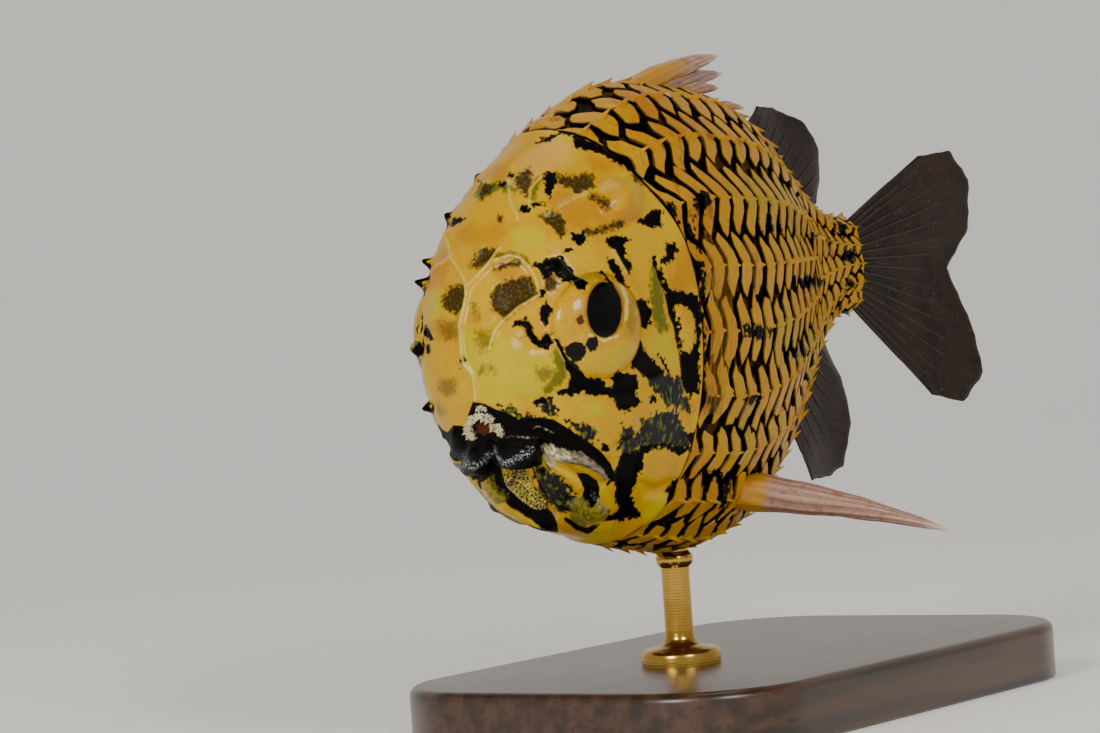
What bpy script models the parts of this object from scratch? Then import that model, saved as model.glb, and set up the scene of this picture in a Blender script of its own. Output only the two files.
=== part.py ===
"""A young pineapplefish, about 75 mm long, as a life-size museum model on a plain stand.

The shapes are set out in the fish's own coordinates: how far behind the tip of the snout, how far to the
fish's left, and how far above the body's axis. world() turns these into metres with +Z up, the snout towards
-X, the fish's left side towards -Y, and the origin under the middle of the stand's base.
"""

import math
import random

import bmesh
import bpy
import numpy as np

MM = 0.001
SEED = 23

# Air left between neighbouring pieces, so that no two solids touch.
GAP = 0.32 * MM

# The fish from the tip of the snout to the root of the tail fin.
STANDARD_LENGTH = 60 * MM
BODY_END = 59.0 * MM
TAIL_SEAM = 45.5 * MM

# Body sections: distance behind the snout, back, belly, half width, and the height of the widest place.
SECTIONS = (
    np.array(
        (
            (0.0, -4.2, -4.2, 0.0, -4.2),
            (0.9, -0.7, -7.7, 3.6, -4.2),
            (2.4, 3.4, -10.7, 5.3, -3.4),
            (5.4, 8.5, -14.5, 7.6, -2.2),
            (9.6, 12.2, -17.8, 9.0, -1.2),
            (15.0, 15.1, -19.4, 9.7, -0.6),
            (21.6, 17.7, -20.8, 10.0, -0.2),
            (29.4, 17.8, -21.4, 9.6, 0.0),
            (36.5, 16.7, -19.3, 8.2, 0.2),
            (43.3, 13.6, -14.2, 5.8, 0.4),
            (49.7, 8.9, -7.3, 3.4, 0.8),
            (54.7, 6.2, -3.4, 2.3, 1.2),
            (60.0, 5.6, -2.6, 1.5, 1.5),
        )
    )
    * MM
)
UPPER_FULLNESS = 2.0
LOWER_FULLNESS = 2.2

# Rear edge of the gill cover: where it stands on the nape, on the flank and at the throat.
EDGE_NAPE = 13.8 * MM
EDGE_FLANK = 19.6 * MM
EDGE_THROAT = 16.6 * MM
EDGE_WIDEST = 0.58

# Eyes, a little flattened, looking sideways and slightly forward.
EYE_AT = np.array((8.2, 7.4, -1.9)) * MM
EYE_RADIUS = 4.5 * MM
EYE_FLATNESS = 0.52
EYE_LOOK = np.array((-0.28, 0.96, 0.03))

# Mouth: a line that falls from the front of the lower jaw to its corner, and the jaw's rear end.
MOUTH_FRONT = (-1.0 * MM, -11.3 * MM)
MOUTH_CORNER = (12.6 * MM, -16.4 * MM)
JAW_REAR = (17.4 * MM, -23.0 * MM)

# Raised forms of the head and the lower jaw, the same on both sides. Each kind has a height and a half width,
# and each form follows a line of places behind the snout, to the left and up. Negative heights are pits.
NET_RIDGE = (0.36, 0.5)
CHEEK_RIM = (0.4, 0.5)
STRUT = (0.32, 0.45)
PIT = (-0.6, 0.45)
THORN = (0.7, 0.5)
HEAD_FORMS = (
    # The bony net on the forehead.
    (*NET_RIDGE, ((1.8, 0, 1.9), (0.8, 0, -0.6), (0.2, 0, -3.5))),
    (*NET_RIDGE, ((0.2, 0, -3.5), (0.4, 1.9, -4.9), (0.4, 1.6, -5.9), (0.95, 0.3, -7.8))),
    (*NET_RIDGE, ((1.8, 0, 1.9), (2.4, 1.2, 3.4), (3.4, 2.3, 4.7), (4.8, 1.9, 7.4), (6.7, 1.1, 9.9))),
    (*NET_RIDGE, ((6.7, 1.1, 9.9), (9.6, 0.5, 12.2))),
    (*NET_RIDGE, ((3.4, 2.3, 4.7), (5.8, 5.1, 6.5), (8.3, 6.9, 6.3), (11.0, 8.1, 5.6), (14.7, 9.4, 3.2))),
    (*NET_RIDGE, ((3.4, 2.3, 4.7), (3.5, 4.1, 3.6), (3.7, 5.6, 1.7))),
    (*NET_RIDGE, ((3.5, 5.7, 0.8), (2.3, 4.6, -0.3), (1.3, 3.3, -1.2), (0.6, 2.1, -2.6))),
    (*NET_RIDGE, ((6.7, 1.1, 9.9), (8.5, 4.0, 10.0), (11.5, 6.3, 9.6), (15.0, 8.0, 8.4))),
    # The rim of the cheek below the eye and its struts.
    (*CHEEK_RIM, ((3.4, 6.4, -4.6), (5.2, 7.4, -6.8), (8.0, 8.3, -7.8), (11.2, 8.9, -6.8))),
    (*CHEEK_RIM, ((11.2, 8.9, -6.8), (13.6, 9.4, -4.6))),
    (*STRUT, ((5.2, 7.4, -6.8), (4.6, 6.4, -9.6))),
    (*STRUT, ((8.3, 8.4, -7.8), (8.8, 8.1, -11.0))),
    (*STRUT, ((11.5, 9.0, -6.6), (13.4, 8.6, -11.0))),
    # The front edge of the gill cover and the struts across it.
    (*CHEEK_RIM, ((14.7, 9.4, 3.2), (15.7, 9.7, 0.5), (16.4, 9.7, -4.0))),
    (*CHEEK_RIM, ((16.4, 9.7, -4.0), (15.6, 9.2, -9.0), (13.0, 7.6, -13.5))),
    (*STRUT, ((16.4, 9.8, -2.0), (19.2, 9.9, 0.4))),
    (*STRUT, ((16.2, 9.6, -5.0), (19.0, 9.5, -7.6))),
    # A low swelling before the eye and the two nostrils in it.
    (0.28, 0.9, ((2.0, 4.7, -1.8),)),
    (*PIT, ((2.6, 5.4, -3.0),)),
    (*PIT, ((2.5, 5.1, -0.9),)),
    # The upper lip, the jawbone behind it, and the tip of the snout.
    (0.75, 1.3, ((4.9, 4.5, -12.2), (3.6, 2.7, -11.8), (3.0, 0, -11.6))),
    (0.42, 0.6, ((2.4, 1.9, -10.3), (3.9, 5.0, -10.0), (6.8, 6.2, -12.1))),
    (0.42, 0.6, ((6.8, 6.2, -12.1), (9.8, 6.3, -14.2), (12.4, 5.65, -16.1))),
    (0.25, 1.2, ((1.4, 0, -9.0),)),
    # The two branches of the lower jaw, the light organs on them, and the cleft of the chin.
    (0.35, 0.7, ((5.6, 0.9, -14.2), (7.6, 3.6, -15.8), (11.6, 4.9, -17.0))),
    (0.3, 1.0, ((6.3, 1.9, -15.1), (8.4, 3.0, -16.3))),
    (-0.6, 0.8, ((6.2, 0, -15.2), (12.0, 0, -18.6))),
    # Small blunt thorns where ridges meet.
    (*THORN, ((3.4, 2.3, 4.7),)),
    (*THORN, ((4.8, 6.2, 3.1),)),
    (*THORN, ((3.5, 6.0, 1.0),)),
    (*THORN, ((1.9, 5.0, -3.0),)),
)
FORM_STEP = 0.6 * MM
ORBIT_RADIUS = 4.9 * MM
ORBIT_WIDTH = 0.5 * MM
ORBIT_HEIGHT = 0.3 * MM

# Fineness of the head: its rings and the points in each, then the share of faces kept in each piece.
HEAD_RINGS = 104
HEAD_RING_POINTS = 180
FIRST_RING = 0.06
HEAD_DETAIL = 0.125
JAW_DETAIL = 0.14
EYE_RINGS = 13
EYE_RING_POINTS = 24

# Scutes: rows between back and belly, half as many crowded near both, in columns from front to rear.
TRUNK_ROWS = 10
TRUNK_COLUMNS = 10
TAIL_ROWS = 6
TAIL_COLUMNS = 6
ROW_CROWDING = 0.32
SCUTE_POINT = 0.27
SCUTE_INSET = 0.8
SCUTE_HEIGHT = 0.16 * MM
GROOVE_DEPTH = 0.26 * MM
KEEL_HEIGHT = 0.4 * MM
SPINE_HEIGHT = 0.75 * MM
BELLY_SPINE_HEIGHT = 1.1 * MM
SCUTE_VARIATION = 0.09
COLLAR = 0.7 * MM
COLLAR_POINTS = 48

# Smooth places in the armour: beside the midline under a fin, round a pelvic spine's root, round the rod, and
# under a pectoral fin.
SMOOTH_MIDLINE = 1.1 * MM
SMOOTH_ROOT = 3.2 * MM
SMOOTH_ROD = (2.6 * MM, 2.4 * MM)
UNDER_PECTORAL = np.array(((19.0, 25.2), (-10.5, 7.0))) * MM

# Free spines of the first dorsal fin, folded back over the body: how far behind the snout each is rooted,
# where its tip stands, and its radius at the root.
DORSAL_SPINES = (
    (25.0 * MM, np.array((39.6, 0.2, 20.4)) * MM, 1.15 * MM),
    (28.6 * MM, np.array((40.9, -0.4, 18.9)) * MM, 1.0 * MM),
    (31.8 * MM, np.array((37.2, 1.7, 17.5)) * MM, 0.75 * MM),
    (34.4 * MM, np.array((39.6, -1.7, 16.7)) * MM, 0.65 * MM),
    (37.0 * MM, np.array((41.4, 1.5, 15.7)) * MM, 0.55 * MM),
    (39.4 * MM, np.array((43.0, -1.2, 14.8)) * MM, 0.5 * MM),
)
DORSAL_SPINE_TAPER = (1.0, 0.95, 0.85, 0.7, 0.42)
DORSAL_SPINE_FOOT = (1.3 * MM, 0.9 * MM, -1.0 * MM)
DORSAL_SPINE_BEND = np.array((0, 0, 0.4)) * MM

# Fins: half thickness of the skin and of a ray at the root, and of both at the rim.
MEMBRANE = 0.25 * MM
RAY = 0.42 * MM
FIN_TIP = 0.14 * MM
RAY_TIP = 0.2 * MM
SCALLOP = 0.05
FIN_SEAT = 0.15 * MM

# Fins of the midline: the reach of the base along the body, and the rim as places behind the snout and up.
SOFT_DORSAL_BASE = (43.2 * MM, 53.3 * MM)
SOFT_DORSAL_RIM = ((45.4, 16.0), (48.6, 15.9), (52.7, 14.7), (55.0, 12.2), (55.6, 9.3), (54.8, 7.2))
SOFT_DORSAL_RAYS = 11
ANAL_BASE = (46.6 * MM, 52.6 * MM)
ANAL_RIM = ((50.2, -17.6), (54.0, -17.6), (56.4, -16.8), (57.2, -13.0), (56.6, -8.6), (54.6, -5.2))
ANAL_RAYS = 10

# Tail fin: its rim as reach behind its root and height, the root's height, and its bend to the left.
CAUDAL_RIM = (
    (9.0, 11.0),
    (13.2, 11.4),
    (15.8, 8.6),
    (15.6, 4.0),
    (12.4, 0.4),
    (14.6, -5.0),
    (15.4, -9.6),
    (12.6, -12.2),
    (9.0, -11.2),
)
CAUDAL_ROOT = (5.0 * MM, -2.0 * MM)
CAUDAL_RAYS = 17
CAUDAL_BEND = math.radians(17)

# Pectoral fins: the root on the flank and how far it stands off, the front end of the rim and how the rim
# runs back from there, and how the fin arches and waves over the flank.
PECTORAL_BEHIND = (20.2 * MM, 22.6 * MM)
PECTORAL_ANGLE = math.radians(116)
PECTORAL_STAND_OFF = 0.43 * MM
PECTORAL_RIM = np.array((20.0, 10.7, 5.2)) * MM
PECTORAL_RIM_REACH = np.array((3.1, 0, -2.2)) * MM
PECTORAL_ARCH = 0.55 * MM
PECTORAL_WAVE = 0.15 * MM
PECTORAL_WAVES = 9
PECTORAL_RAYS = 9

# Pelvic spines: the root on the belly, its half length and half width, and the tip on each side.
PELVIC_BEHIND = 30.6 * MM
PELVIC_ANGLE = math.radians(143)
PELVIC_FOOT = (2.1 * MM, 1.7 * MM)
PELVIC_TIPS = {
    "left": np.array((38.6, 20.8, -21.3)) * MM,
    "right": np.array((38.6, -20.8, -19.5)) * MM,
}
PELVIC_BEND = np.array((-0.6, 0.3, 0.5)) * MM
PELVIC_RADIUS = 1.7 * MM
PELVIC_TIP_RADIUS = 0.22 * MM
PELVIC_RINGS = 9

# Stand.
BASE_LENGTH = 58 * MM
BASE_WIDTH = 38 * MM
BASE_HEIGHT = 5 * MM
BASE_CORNER = 10 * MM
BASE_CORNER_POINTS = 7
BASE_CHAMFER = 0.8 * MM
ROD_RADIUS = 1.2 * MM
ROD_FOOT_RADIUS = 3.4 * MM
ROD_FOOT_RIM = 3.0 * MM
ROD_POINTS = 20
ROD_BEHIND_SNOUT = 28 * MM
CLEARANCE_UNDER_BELLY = 10 * MM

# Where the fish stands over the base.
BASE_BEHIND_SNOUT = 37 * MM
AXIS_HEIGHT = BASE_HEIGHT + CLEARANCE_UNDER_BELLY - SECTIONS[:, 2].min()


def clear_scene():
    for obj in list(bpy.data.objects):
        bpy.data.objects.remove(obj, do_unlink=True)


def world(points):
    points = np.asarray(points, float)
    turned = points * (1, -1, 1)
    return turned + (-BASE_BEHIND_SNOUT, 0, AXIS_HEIGHT)


def linear(hex_colour):
    channels = [int(hex_colour[i : i + 2], 16) / 255 for i in (1, 3, 5)]
    return [c / 12.92 if c <= 0.04045 else ((c + 0.055) / 1.055) ** 2.4 for c in channels]


def material(name, colour, roughness, metallic=0.0):
    made = bpy.data.materials.new(name)
    made.use_nodes = True
    shader = made.node_tree.nodes["Principled BSDF"]
    shader.inputs["Base Color"].default_value = (*linear(colour), 1)
    shader.inputs["Roughness"].default_value = roughness
    shader.inputs["Metallic"].default_value = metallic
    return made


def add_object(name, points, faces, finish, group):
    """A closed mesh from points in the fish's coordinates, with its faces turned outwards."""
    mesh = bpy.data.meshes.new(name)
    mesh.from_pydata([tuple(p) for p in world(points)], [], faces)
    solid = bmesh.new()
    solid.from_mesh(mesh)
    bmesh.ops.triangulate(solid, faces=solid.faces)
    bmesh.ops.recalc_face_normals(solid, faces=solid.faces)
    if solid.calc_volume(signed=True) < 0:
        bmesh.ops.reverse_faces(solid, faces=solid.faces)
    solid.to_mesh(mesh)
    solid.free()
    mesh.materials.append(finish)
    mesh.shade_smooth()
    mesh.set_sharp_from_angle(angle=math.radians(35))
    obj = bpy.data.objects.new(name, mesh)
    group.objects.link(obj)
    return obj


def loft(rings):
    """Points and faces of a closed skin over rings of equally many points, with a fan over each end."""
    count = len(rings[0])
    points = [p for ring in rings for p in ring]
    faces = []
    for row in range(len(rings) - 1):
        for k in range(count):
            a = row * count + k
            b = row * count + (k + 1) % count
            faces.append((a, b, b + count, a + count))
    for start, ring in ((0, rings[0]), (len(points) - count, rings[-1])):
        centre = len(points)
        points.append(np.mean(ring, axis=0))
        faces += [(start + k, start + (k + 1) % count, centre) for k in range(count)]
    return points, faces


def cubic(share, knots, values):
    """A smooth curve through the values at the knots."""
    slopes = np.gradient(values, knots)
    left = np.clip(np.searchsorted(knots, share) - 1, 0, len(knots) - 2)
    span = knots[left + 1] - knots[left]
    t = (share - knots[left]) / span
    return (
        (2 * t**3 - 3 * t**2 + 1) * values[left]
        + (t**3 - 2 * t**2 + t) * span * slopes[left]
        + (3 * t**2 - 2 * t**3) * values[left + 1]
        + (t**3 - t**2) * span * slopes[left + 1]
    )


def section(behind):
    """Back, belly, half width and widest height at a distance behind the snout."""
    knots = np.sqrt(SECTIONS[:, 0] / STANDARD_LENGTH)
    share = np.sqrt(np.clip(behind, 0, STANDARD_LENGTH) / STANDARD_LENGTH)
    return [cubic(share, knots, SECTIONS[:, column]) for column in (1, 2, 3, 4)]


def body(behind, angle):
    """A point of the body: angle 0 on the back, a quarter turn on the left side, a half turn on the belly."""
    behind, angle = np.broadcast_arrays(np.asarray(behind, float), np.asarray(angle, float))
    back, belly, half_width, widest = section(behind)
    c = np.cos(angle)
    s = np.sin(angle)
    fullness = np.where(c > 0, UPPER_FULLNESS, LOWER_FULLNESS)
    up = np.sign(c) * np.abs(c) ** (2 / fullness)
    side = np.sign(s) * np.abs(s) ** (2 / fullness)
    height = widest + np.where(c > 0, back - widest, widest - belly) * up
    return np.stack([behind, half_width * side, height], axis=-1)


def body_normal(behind, angle):
    step = 0.05 * MM
    turn = 0.01
    behind = np.maximum(behind, 2 * step)
    along = body(behind + step, angle) - body(behind - step, angle)
    around = body(behind, angle + turn) - body(behind, angle - turn)
    normal = np.cross(along, around)
    return normal / np.linalg.norm(normal, axis=-1, keepdims=True)


def raised(behind, angle, height):
    """A point that stands off the body's surface by the height."""
    return body(behind, angle) + body_normal(behind, angle) * np.asarray(height)[..., None]


def angle_of(share, behind):
    """The angle that stands a share of the way round from the back (0) to the belly (1), and on to 2."""
    side = 1 if share % 2 <= 1 else -1
    way = share % 2 if side > 0 else 2 - share % 2
    angles = np.linspace(0, math.pi, 61)
    line = body(behind, angles)
    steps = np.linalg.norm(np.diff(line, axis=0), axis=1)
    lengths = np.concatenate([[0], np.cumsum(steps)])
    return side * float(np.interp(way * lengths[-1], lengths, angles))


def gill_edge(angle):
    """How far behind the snout the gill cover ends, at an angle round the body."""
    share = np.abs((np.asarray(angle) + math.pi) % (2 * math.pi) - math.pi) / math.pi
    rise = (1 - np.cos(math.pi * np.clip(share / EDGE_WIDEST, 0, 1))) / 2
    fall = (1 - np.cos(math.pi * np.clip((share - EDGE_WIDEST) / (1 - EDGE_WIDEST), 0, 1))) / 2
    return EDGE_NAPE + (EDGE_FLANK - EDGE_NAPE) * rise + (EDGE_THROAT - EDGE_FLANK) * fall


def boolean(target, other, operation):
    cut = target.modifiers.new(operation.lower(), "BOOLEAN")
    cut.operation = operation
    cut.object = other
    cut.solver = "EXACT"


def applied(obj, ratio=1.0):
    """Turns the object's modifiers into its mesh, thinned to a share of its faces."""
    if ratio < 1.0:
        thin = obj.modifiers.new("thin", "DECIMATE")
        thin.ratio = ratio
    graph = bpy.context.evaluated_depsgraph_get()
    mesh = bpy.data.meshes.new_from_object(obj.evaluated_get(graph))
    obj.modifiers.clear()
    obj.data = mesh
    return obj


def largest_body(obj):
    """Keeps only the largest closed surface of a mesh."""
    solid = bmesh.new()
    solid.from_mesh(obj.data)
    left = set(solid.verts)
    pieces = []
    while left:
        piece = {left.pop()}
        edge = list(piece)
        while edge:
            near = {e.other_vert(v) for v in edge for e in v.link_edges} - piece
            piece |= near
            edge = list(near)
        left -= piece
        pieces.append(piece)
    pieces.sort(key=len, reverse=True)
    extra = [v for piece in pieces[1:] for v in piece]
    bmesh.ops.delete(solid, geom=extra, context="VERTS")
    solid.to_mesh(obj.data)
    solid.free()


def ellipsoid(name, at, look, radius, flatness, finish, group):
    """A ball flattened along its line of sight, lofted ring by ring round that line."""
    look = np.asarray(look) / np.linalg.norm(look)
    side = np.cross(look, (0, 0, 1))
    side /= np.linalg.norm(side)
    up = np.cross(side, look)
    rings = []
    first = math.pi / EYE_RING_POINTS
    for polar in np.linspace(first, math.pi - first, EYE_RINGS):
        ring = []
        for turn in np.linspace(0, 2 * math.pi, EYE_RING_POINTS, endpoint=False):
            across = side * math.cos(turn) + up * math.sin(turn)
            ring.append(at + radius * (across * math.sin(polar) + look * flatness * math.cos(polar)))
        rings.append(ring)
    points, faces = loft(rings)
    return add_object(name, points, faces, finish, group)


def prism(name, outline, finish, group):
    """A block wider than the body, from an outline in its side view."""
    half = 1.5 * SECTIONS[:, 3].max()
    rings = [[(x, y, z) for x, z in outline] for y in (-half, half)]
    points, faces = loft(rings)
    return add_object(name, points, faces, finish, group)


def on_skin(place):
    """The point of the body's surface abreast of a place."""
    behind, left, up = place
    back, belly, half_width, widest = section(behind)
    upper = up > widest
    fullness = UPPER_FULLNESS if upper else LOWER_FULLNESS
    rise = (up - widest) / (back - widest if upper else widest - belly)
    spread = left / half_width
    across = abs(spread) ** (fullness / 2)
    along = np.sign(rise) * abs(rise) ** (fullness / 2)
    return body(behind, math.atan2(across, along))


def draped(path):
    """The path laid on the body's surface in short steps."""
    path = np.array(path) * MM
    places = [path[0]]
    for start, stop in zip(path, path[1:]):
        steps = max(1, round(float(np.linalg.norm(stop - start)) / FORM_STEP))
        places += [start + (stop - start) * k / steps for k in range(1, steps + 1)]
    return np.array([on_skin(place) for place in places])


def distance_to_path(points, path):
    nearest = np.linalg.norm(points - path[0], axis=-1)
    for start, stop in zip(path, path[1:]):
        along = stop - start
        share = np.clip((points - start) @ along / (along @ along), 0, 1)
        away = np.linalg.norm(points - start - share[..., None] * along, axis=-1)
        nearest = np.minimum(nearest, away)
    return nearest


def head_relief(points):
    """How far the forms of the head raise the skin at each point."""
    points = np.stack([points[..., 0], np.abs(points[..., 1]), points[..., 2]], axis=-1)
    height = np.zeros(points.shape[:-1])
    for rise, half_width, path in HEAD_FORMS:
        away = distance_to_path(points, draped(path)) / (half_width * MM)
        height += rise * MM * np.exp(-(away**2))
    look = EYE_LOOK / np.linalg.norm(EYE_LOOK)
    from_eye = points - EYE_AT
    off_axis = np.linalg.norm(from_eye - (from_eye @ look)[..., None] * look, axis=-1)
    return height + ORBIT_HEIGHT * np.exp(-(((off_axis - ORBIT_RADIUS) / ORBIT_WIDTH) ** 2))


def head_hull():
    """The head's skin as rings from the snout to the edge of the gill cover."""
    angles = np.linspace(0, 2 * math.pi, HEAD_RING_POINTS, endpoint=False)
    shares = np.linspace(FIRST_RING, 1, HEAD_RINGS)
    behind = np.outer(shares**2, gill_edge(angles))
    rings = raised(behind, angles, head_relief(body(behind, angles)))
    return loft([list(ring) for ring in rings])


def jaw_outline(grow):
    """Side view of the lower jaw's block, grown on its upper and rear edges."""
    front, corner, rear = (np.array(p) for p in (MOUTH_FRONT, MOUTH_CORNER, JAW_REAR))
    mouth = corner - front
    mouth_normal = np.array((-mouth[1], mouth[0])) / np.linalg.norm(mouth)
    back = rear - corner
    back_normal = np.array((-back[1], back[0])) / np.linalg.norm(back)
    middle = mouth_normal + back_normal
    middle /= middle @ mouth_normal
    floor = JAW_REAR[1] - 5 * MM
    return (
        tuple(front + mouth_normal * grow),
        tuple(corner + middle * grow),
        tuple(rear + back_normal * grow),
        (rear[0], floor),
        (front[0], floor),
    )


def make_head(finishes, group, cutters):
    points, faces = head_hull()
    head = add_object("head", points, faces, finishes["skin"], group)
    jaw = add_object("lower_jaw", points, faces, finishes["skin"], group)
    block = prism("jaw_block", jaw_outline(0), finishes["skin"], cutters)
    wide_block = prism("jaw_block_wide", jaw_outline(GAP), finishes["skin"], cutters)
    boolean(jaw, block, "INTERSECT")
    boolean(head, wide_block, "DIFFERENCE")
    for side, name in ((1, "left"), (-1, "right")):
        mirror = (1, side, 1)
        at = EYE_AT * mirror
        look = EYE_LOOK * mirror
        ellipsoid(f"eye_{name}", at, look, EYE_RADIUS, EYE_FLATNESS, finishes["eye"], group)
        socket = ellipsoid(
            f"socket_{name}", at, look, EYE_RADIUS + GAP, EYE_FLATNESS, finishes["skin"], cutters
        )
        boolean(head, socket, "DIFFERENCE")
    applied(jaw, JAW_DETAIL)
    applied(head, HEAD_DETAIL)
    largest_body(jaw)
    largest_body(head)


def scute_relief(point):
    """1 where scutes stand proud, 0 where the root of a fin or the rod needs smooth skin."""
    behind, left, up = point
    sideways = abs(left)
    (front, rear), (low, high) = UNDER_PECTORAL
    pectoral = front < behind < rear and low < up < high
    near_midline = sideways < SMOOTH_MIDLINE
    soft_dorsal = SOFT_DORSAL_BASE[0] - MM < behind < SOFT_DORSAL_BASE[1] + MM and up > 0
    anal = ANAL_BASE[0] - MM < behind < ANAL_BASE[1] + MM and up < 0
    rod = abs(behind - ROD_BEHIND_SNOUT) < SMOOTH_ROD[0] and sideways < SMOOTH_ROD[1] and up < 0
    pelvic = np.linalg.norm((behind, sideways, up) - body(PELVIC_BEHIND, PELVIC_ANGLE)) < SMOOTH_ROOT
    return 0.0 if (near_midline and (soft_dorsal or anal)) or rod or pectoral or pelvic else 1.0


def crowded(row, rows):
    """A row's share of the way round, with the rows lower near the back and the belly."""
    share = row / rows
    return share - ROW_CROWDING * math.sin(2 * math.pi * share) / (2 * math.pi)


def zip_rings(first, first_turns, second, second_turns):
    """Triangles between two rings of unlike counts, from each point's index and turn."""
    faces = []
    i = j = 0
    while i < len(first) or j < len(second):
        next_i = (i + 1) % len(first)
        next_j = (j + 1) % len(second)
        turn_i = first_turns[next_i] + 2 * math.pi * ((i + 1) // len(first))
        turn_j = second_turns[next_j] + 2 * math.pi * ((j + 1) // len(second))
        if j >= len(second) or (i < len(first) and turn_i <= turn_j):
            faces.append((first[i % len(first)], first[next_i], second[j % len(second)]))
            i += 1
        else:
            faces.append((first[i % len(first)], second[next_j], second[j % len(second)]))
            j += 1
    return faces


class Armour:
    """A length of the body as a honeycomb of keeled scutes between a front and a rear edge."""

    def __init__(self, front, rear, rows, columns, rng):
        self.front = front
        self.rear = rear
        self.rows = rows
        self.halves = 2 * columns
        self.points = []
        self.faces = []
        self.corners = {}
        self.drift = {}
        for column in range(self.halves + 1):
            for row in range(2 * rows):
                loose = SCUTE_VARIATION if 0 < column < self.halves else 0
                self.drift[column, row] = (rng.uniform(-2, 2) * loose, rng.uniform(-1, 1) * loose)

    def spot(self, column, row):
        """Distance behind the snout and angle of a place in the honeycomb."""
        share = crowded(row, self.rows)
        rough = angle_of(share, (self.front(0.0) + self.rear) / 2)
        start = self.front(rough)
        behind = start + (self.rear - start) * column / self.halves
        return behind, angle_of(share, behind)

    def add(self, column, row, height):
        behind, angle = self.spot(column, row)
        surface = body(behind, angle)
        self.points.append(surface + body_normal(behind, angle) * height * scute_relief(surface))
        return len(self.points) - 1

    def is_middle(self, column, row):
        return (column + row) % 2 == 1

    def corner_place(self, column, row):
        """Where the edge between a row and the next one stands, zigzag, at half a column."""
        point = SCUTE_POINT if self.is_middle(column, row) else -SCUTE_POINT
        along, across = self.drift[column, row % (2 * self.rows)]
        return column + along, row + 0.5 + point + across

    def corner(self, column, row):
        key = (column, row % (2 * self.rows))
        if key not in self.corners:
            self.corners[key] = self.add(*self.corner_place(column, row), -GROOVE_DEPTH)
        return self.corners[key]

    def scute(self, column, row, rng):
        ring = [(column, row - 1), (column + 1, row - 1), (column + 1, row), (column, row)]
        ring += [(column - 1, row), (column - 1, row - 1)]
        ring = [place for place in ring if 0 <= place[0] <= self.halves]
        outer = [self.corner(*place) for place in ring]
        places = np.array([self.corner_place(*place) for place in ring])
        middle = places.mean(axis=0)
        inner = [self.add(*(middle + (place - middle) * SCUTE_INSET), SCUTE_HEIGHT) for place in places]
        for k in range(len(ring)):
            nxt = (k + 1) % len(ring)
            self.faces.append((outer[k], outer[nxt], inner[nxt], inner[k]))
        first = max(column - 0.55, 0.3)
        last = min(column + 0.95, self.halves - 0.3)
        tip = BELLY_SPINE_HEIGHT if row == self.rows else SPINE_HEIGHT
        keel = self.add(first, middle[1], KEEL_HEIGHT * rng.uniform(0.8, 1.2))
        spine = self.add(last, middle[1], tip * rng.uniform(0.8, 1.15))
        bottom = ring.index((column, row))
        for k in range(len(ring)):
            nxt = (k + 1) % len(ring)
            self.faces.append((inner[k], inner[nxt], spine if k < bottom else keel))
        self.faces += [(inner[bottom], keel, spine), (inner[0], spine, keel)]

    def close(self, column, edge, edge_turns):
        """Joins one end of the honeycomb to a fine smooth ring and closes that with a fan."""
        coarse = [self.corner(column, row) for row in range(2 * self.rows)]
        angles = [self.spot(*self.corner_place(column, row))[1] for row in range(2 * self.rows)]
        turns = [angle % (2 * math.pi) for angle in angles]
        start = len(self.points)
        self.points += list(edge)
        fine = list(range(start, start + len(edge)))
        self.faces += zip_rings(coarse, turns, fine, list(edge_turns))
        centre = len(self.points)
        self.points.append(np.mean(edge, axis=0))
        self.faces += [(a, b, centre) for a, b in zip(fine, fine[1:] + fine[:1])]

    def build(self, front_edge, rear_edge, turns, rng):
        for row in range(2 * self.rows):
            for column in range(self.halves + 1):
                if self.is_middle(column, row):
                    self.scute(column, row, rng)
        self.close(0, front_edge, turns)
        self.close(self.halves, rear_edge, turns)
        return self.points, self.faces


def make_dorsal_spines(finishes, holder):
    """The free spines of the back, each leaning to its own side, rooted well inside the trunk."""
    for number, (behind, tip, radius) in enumerate(DORSAL_SPINES):
        root = foot_ring(behind, 0.0, *DORSAL_SPINE_FOOT, 8)
        radii = [radius * share for share in DORSAL_SPINE_TAPER]
        points, faces = loft(spike(root, tip, radii, DORSAL_SPINE_BEND))
        add_object(f"dorsal_spine_{number}", points, faces, finishes["spine"], holder)


def make_body(finishes, group, cutters):
    rng = random.Random(SEED)
    turns = np.linspace(0, 2 * math.pi, COLLAR_POINTS, endpoint=False)
    seam_front = body(TAIL_SEAM - GAP / 2, turns)
    seam_rear = body(TAIL_SEAM + GAP / 2, turns)
    collar = body(gill_edge(turns) + GAP, turns)
    end = body(BODY_END, turns)

    def front(angle):
        return gill_edge(angle) + COLLAR + GAP

    armour = Armour(front, TAIL_SEAM - COLLAR, TRUNK_ROWS, TRUNK_COLUMNS, rng)
    points, faces = armour.build(collar, seam_front, turns, rng)
    trunk = add_object("trunk", points, faces, finishes["skin"], group)

    def seam(angle):
        return TAIL_SEAM + COLLAR

    armour = Armour(seam, BODY_END - COLLAR / 2, TAIL_ROWS, TAIL_COLUMNS, rng)
    points, faces = armour.build(seam_rear, end, turns, rng)
    add_object("tail", points, faces, finishes["skin"], group)

    spines = bpy.data.collections.new("dorsal_spines")
    cutters.children.link(spines)
    make_dorsal_spines(finishes, spines)
    join = trunk.modifiers.new("join", "BOOLEAN")
    join.operation = "UNION"
    join.operand_type = "COLLECTION"
    join.collection = spines
    join.solver = "MANIFOLD"
    applied(trunk)
    largest_body(trunk)
    for obj in list(spines.objects):
        bpy.data.objects.remove(obj, do_unlink=True)


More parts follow.
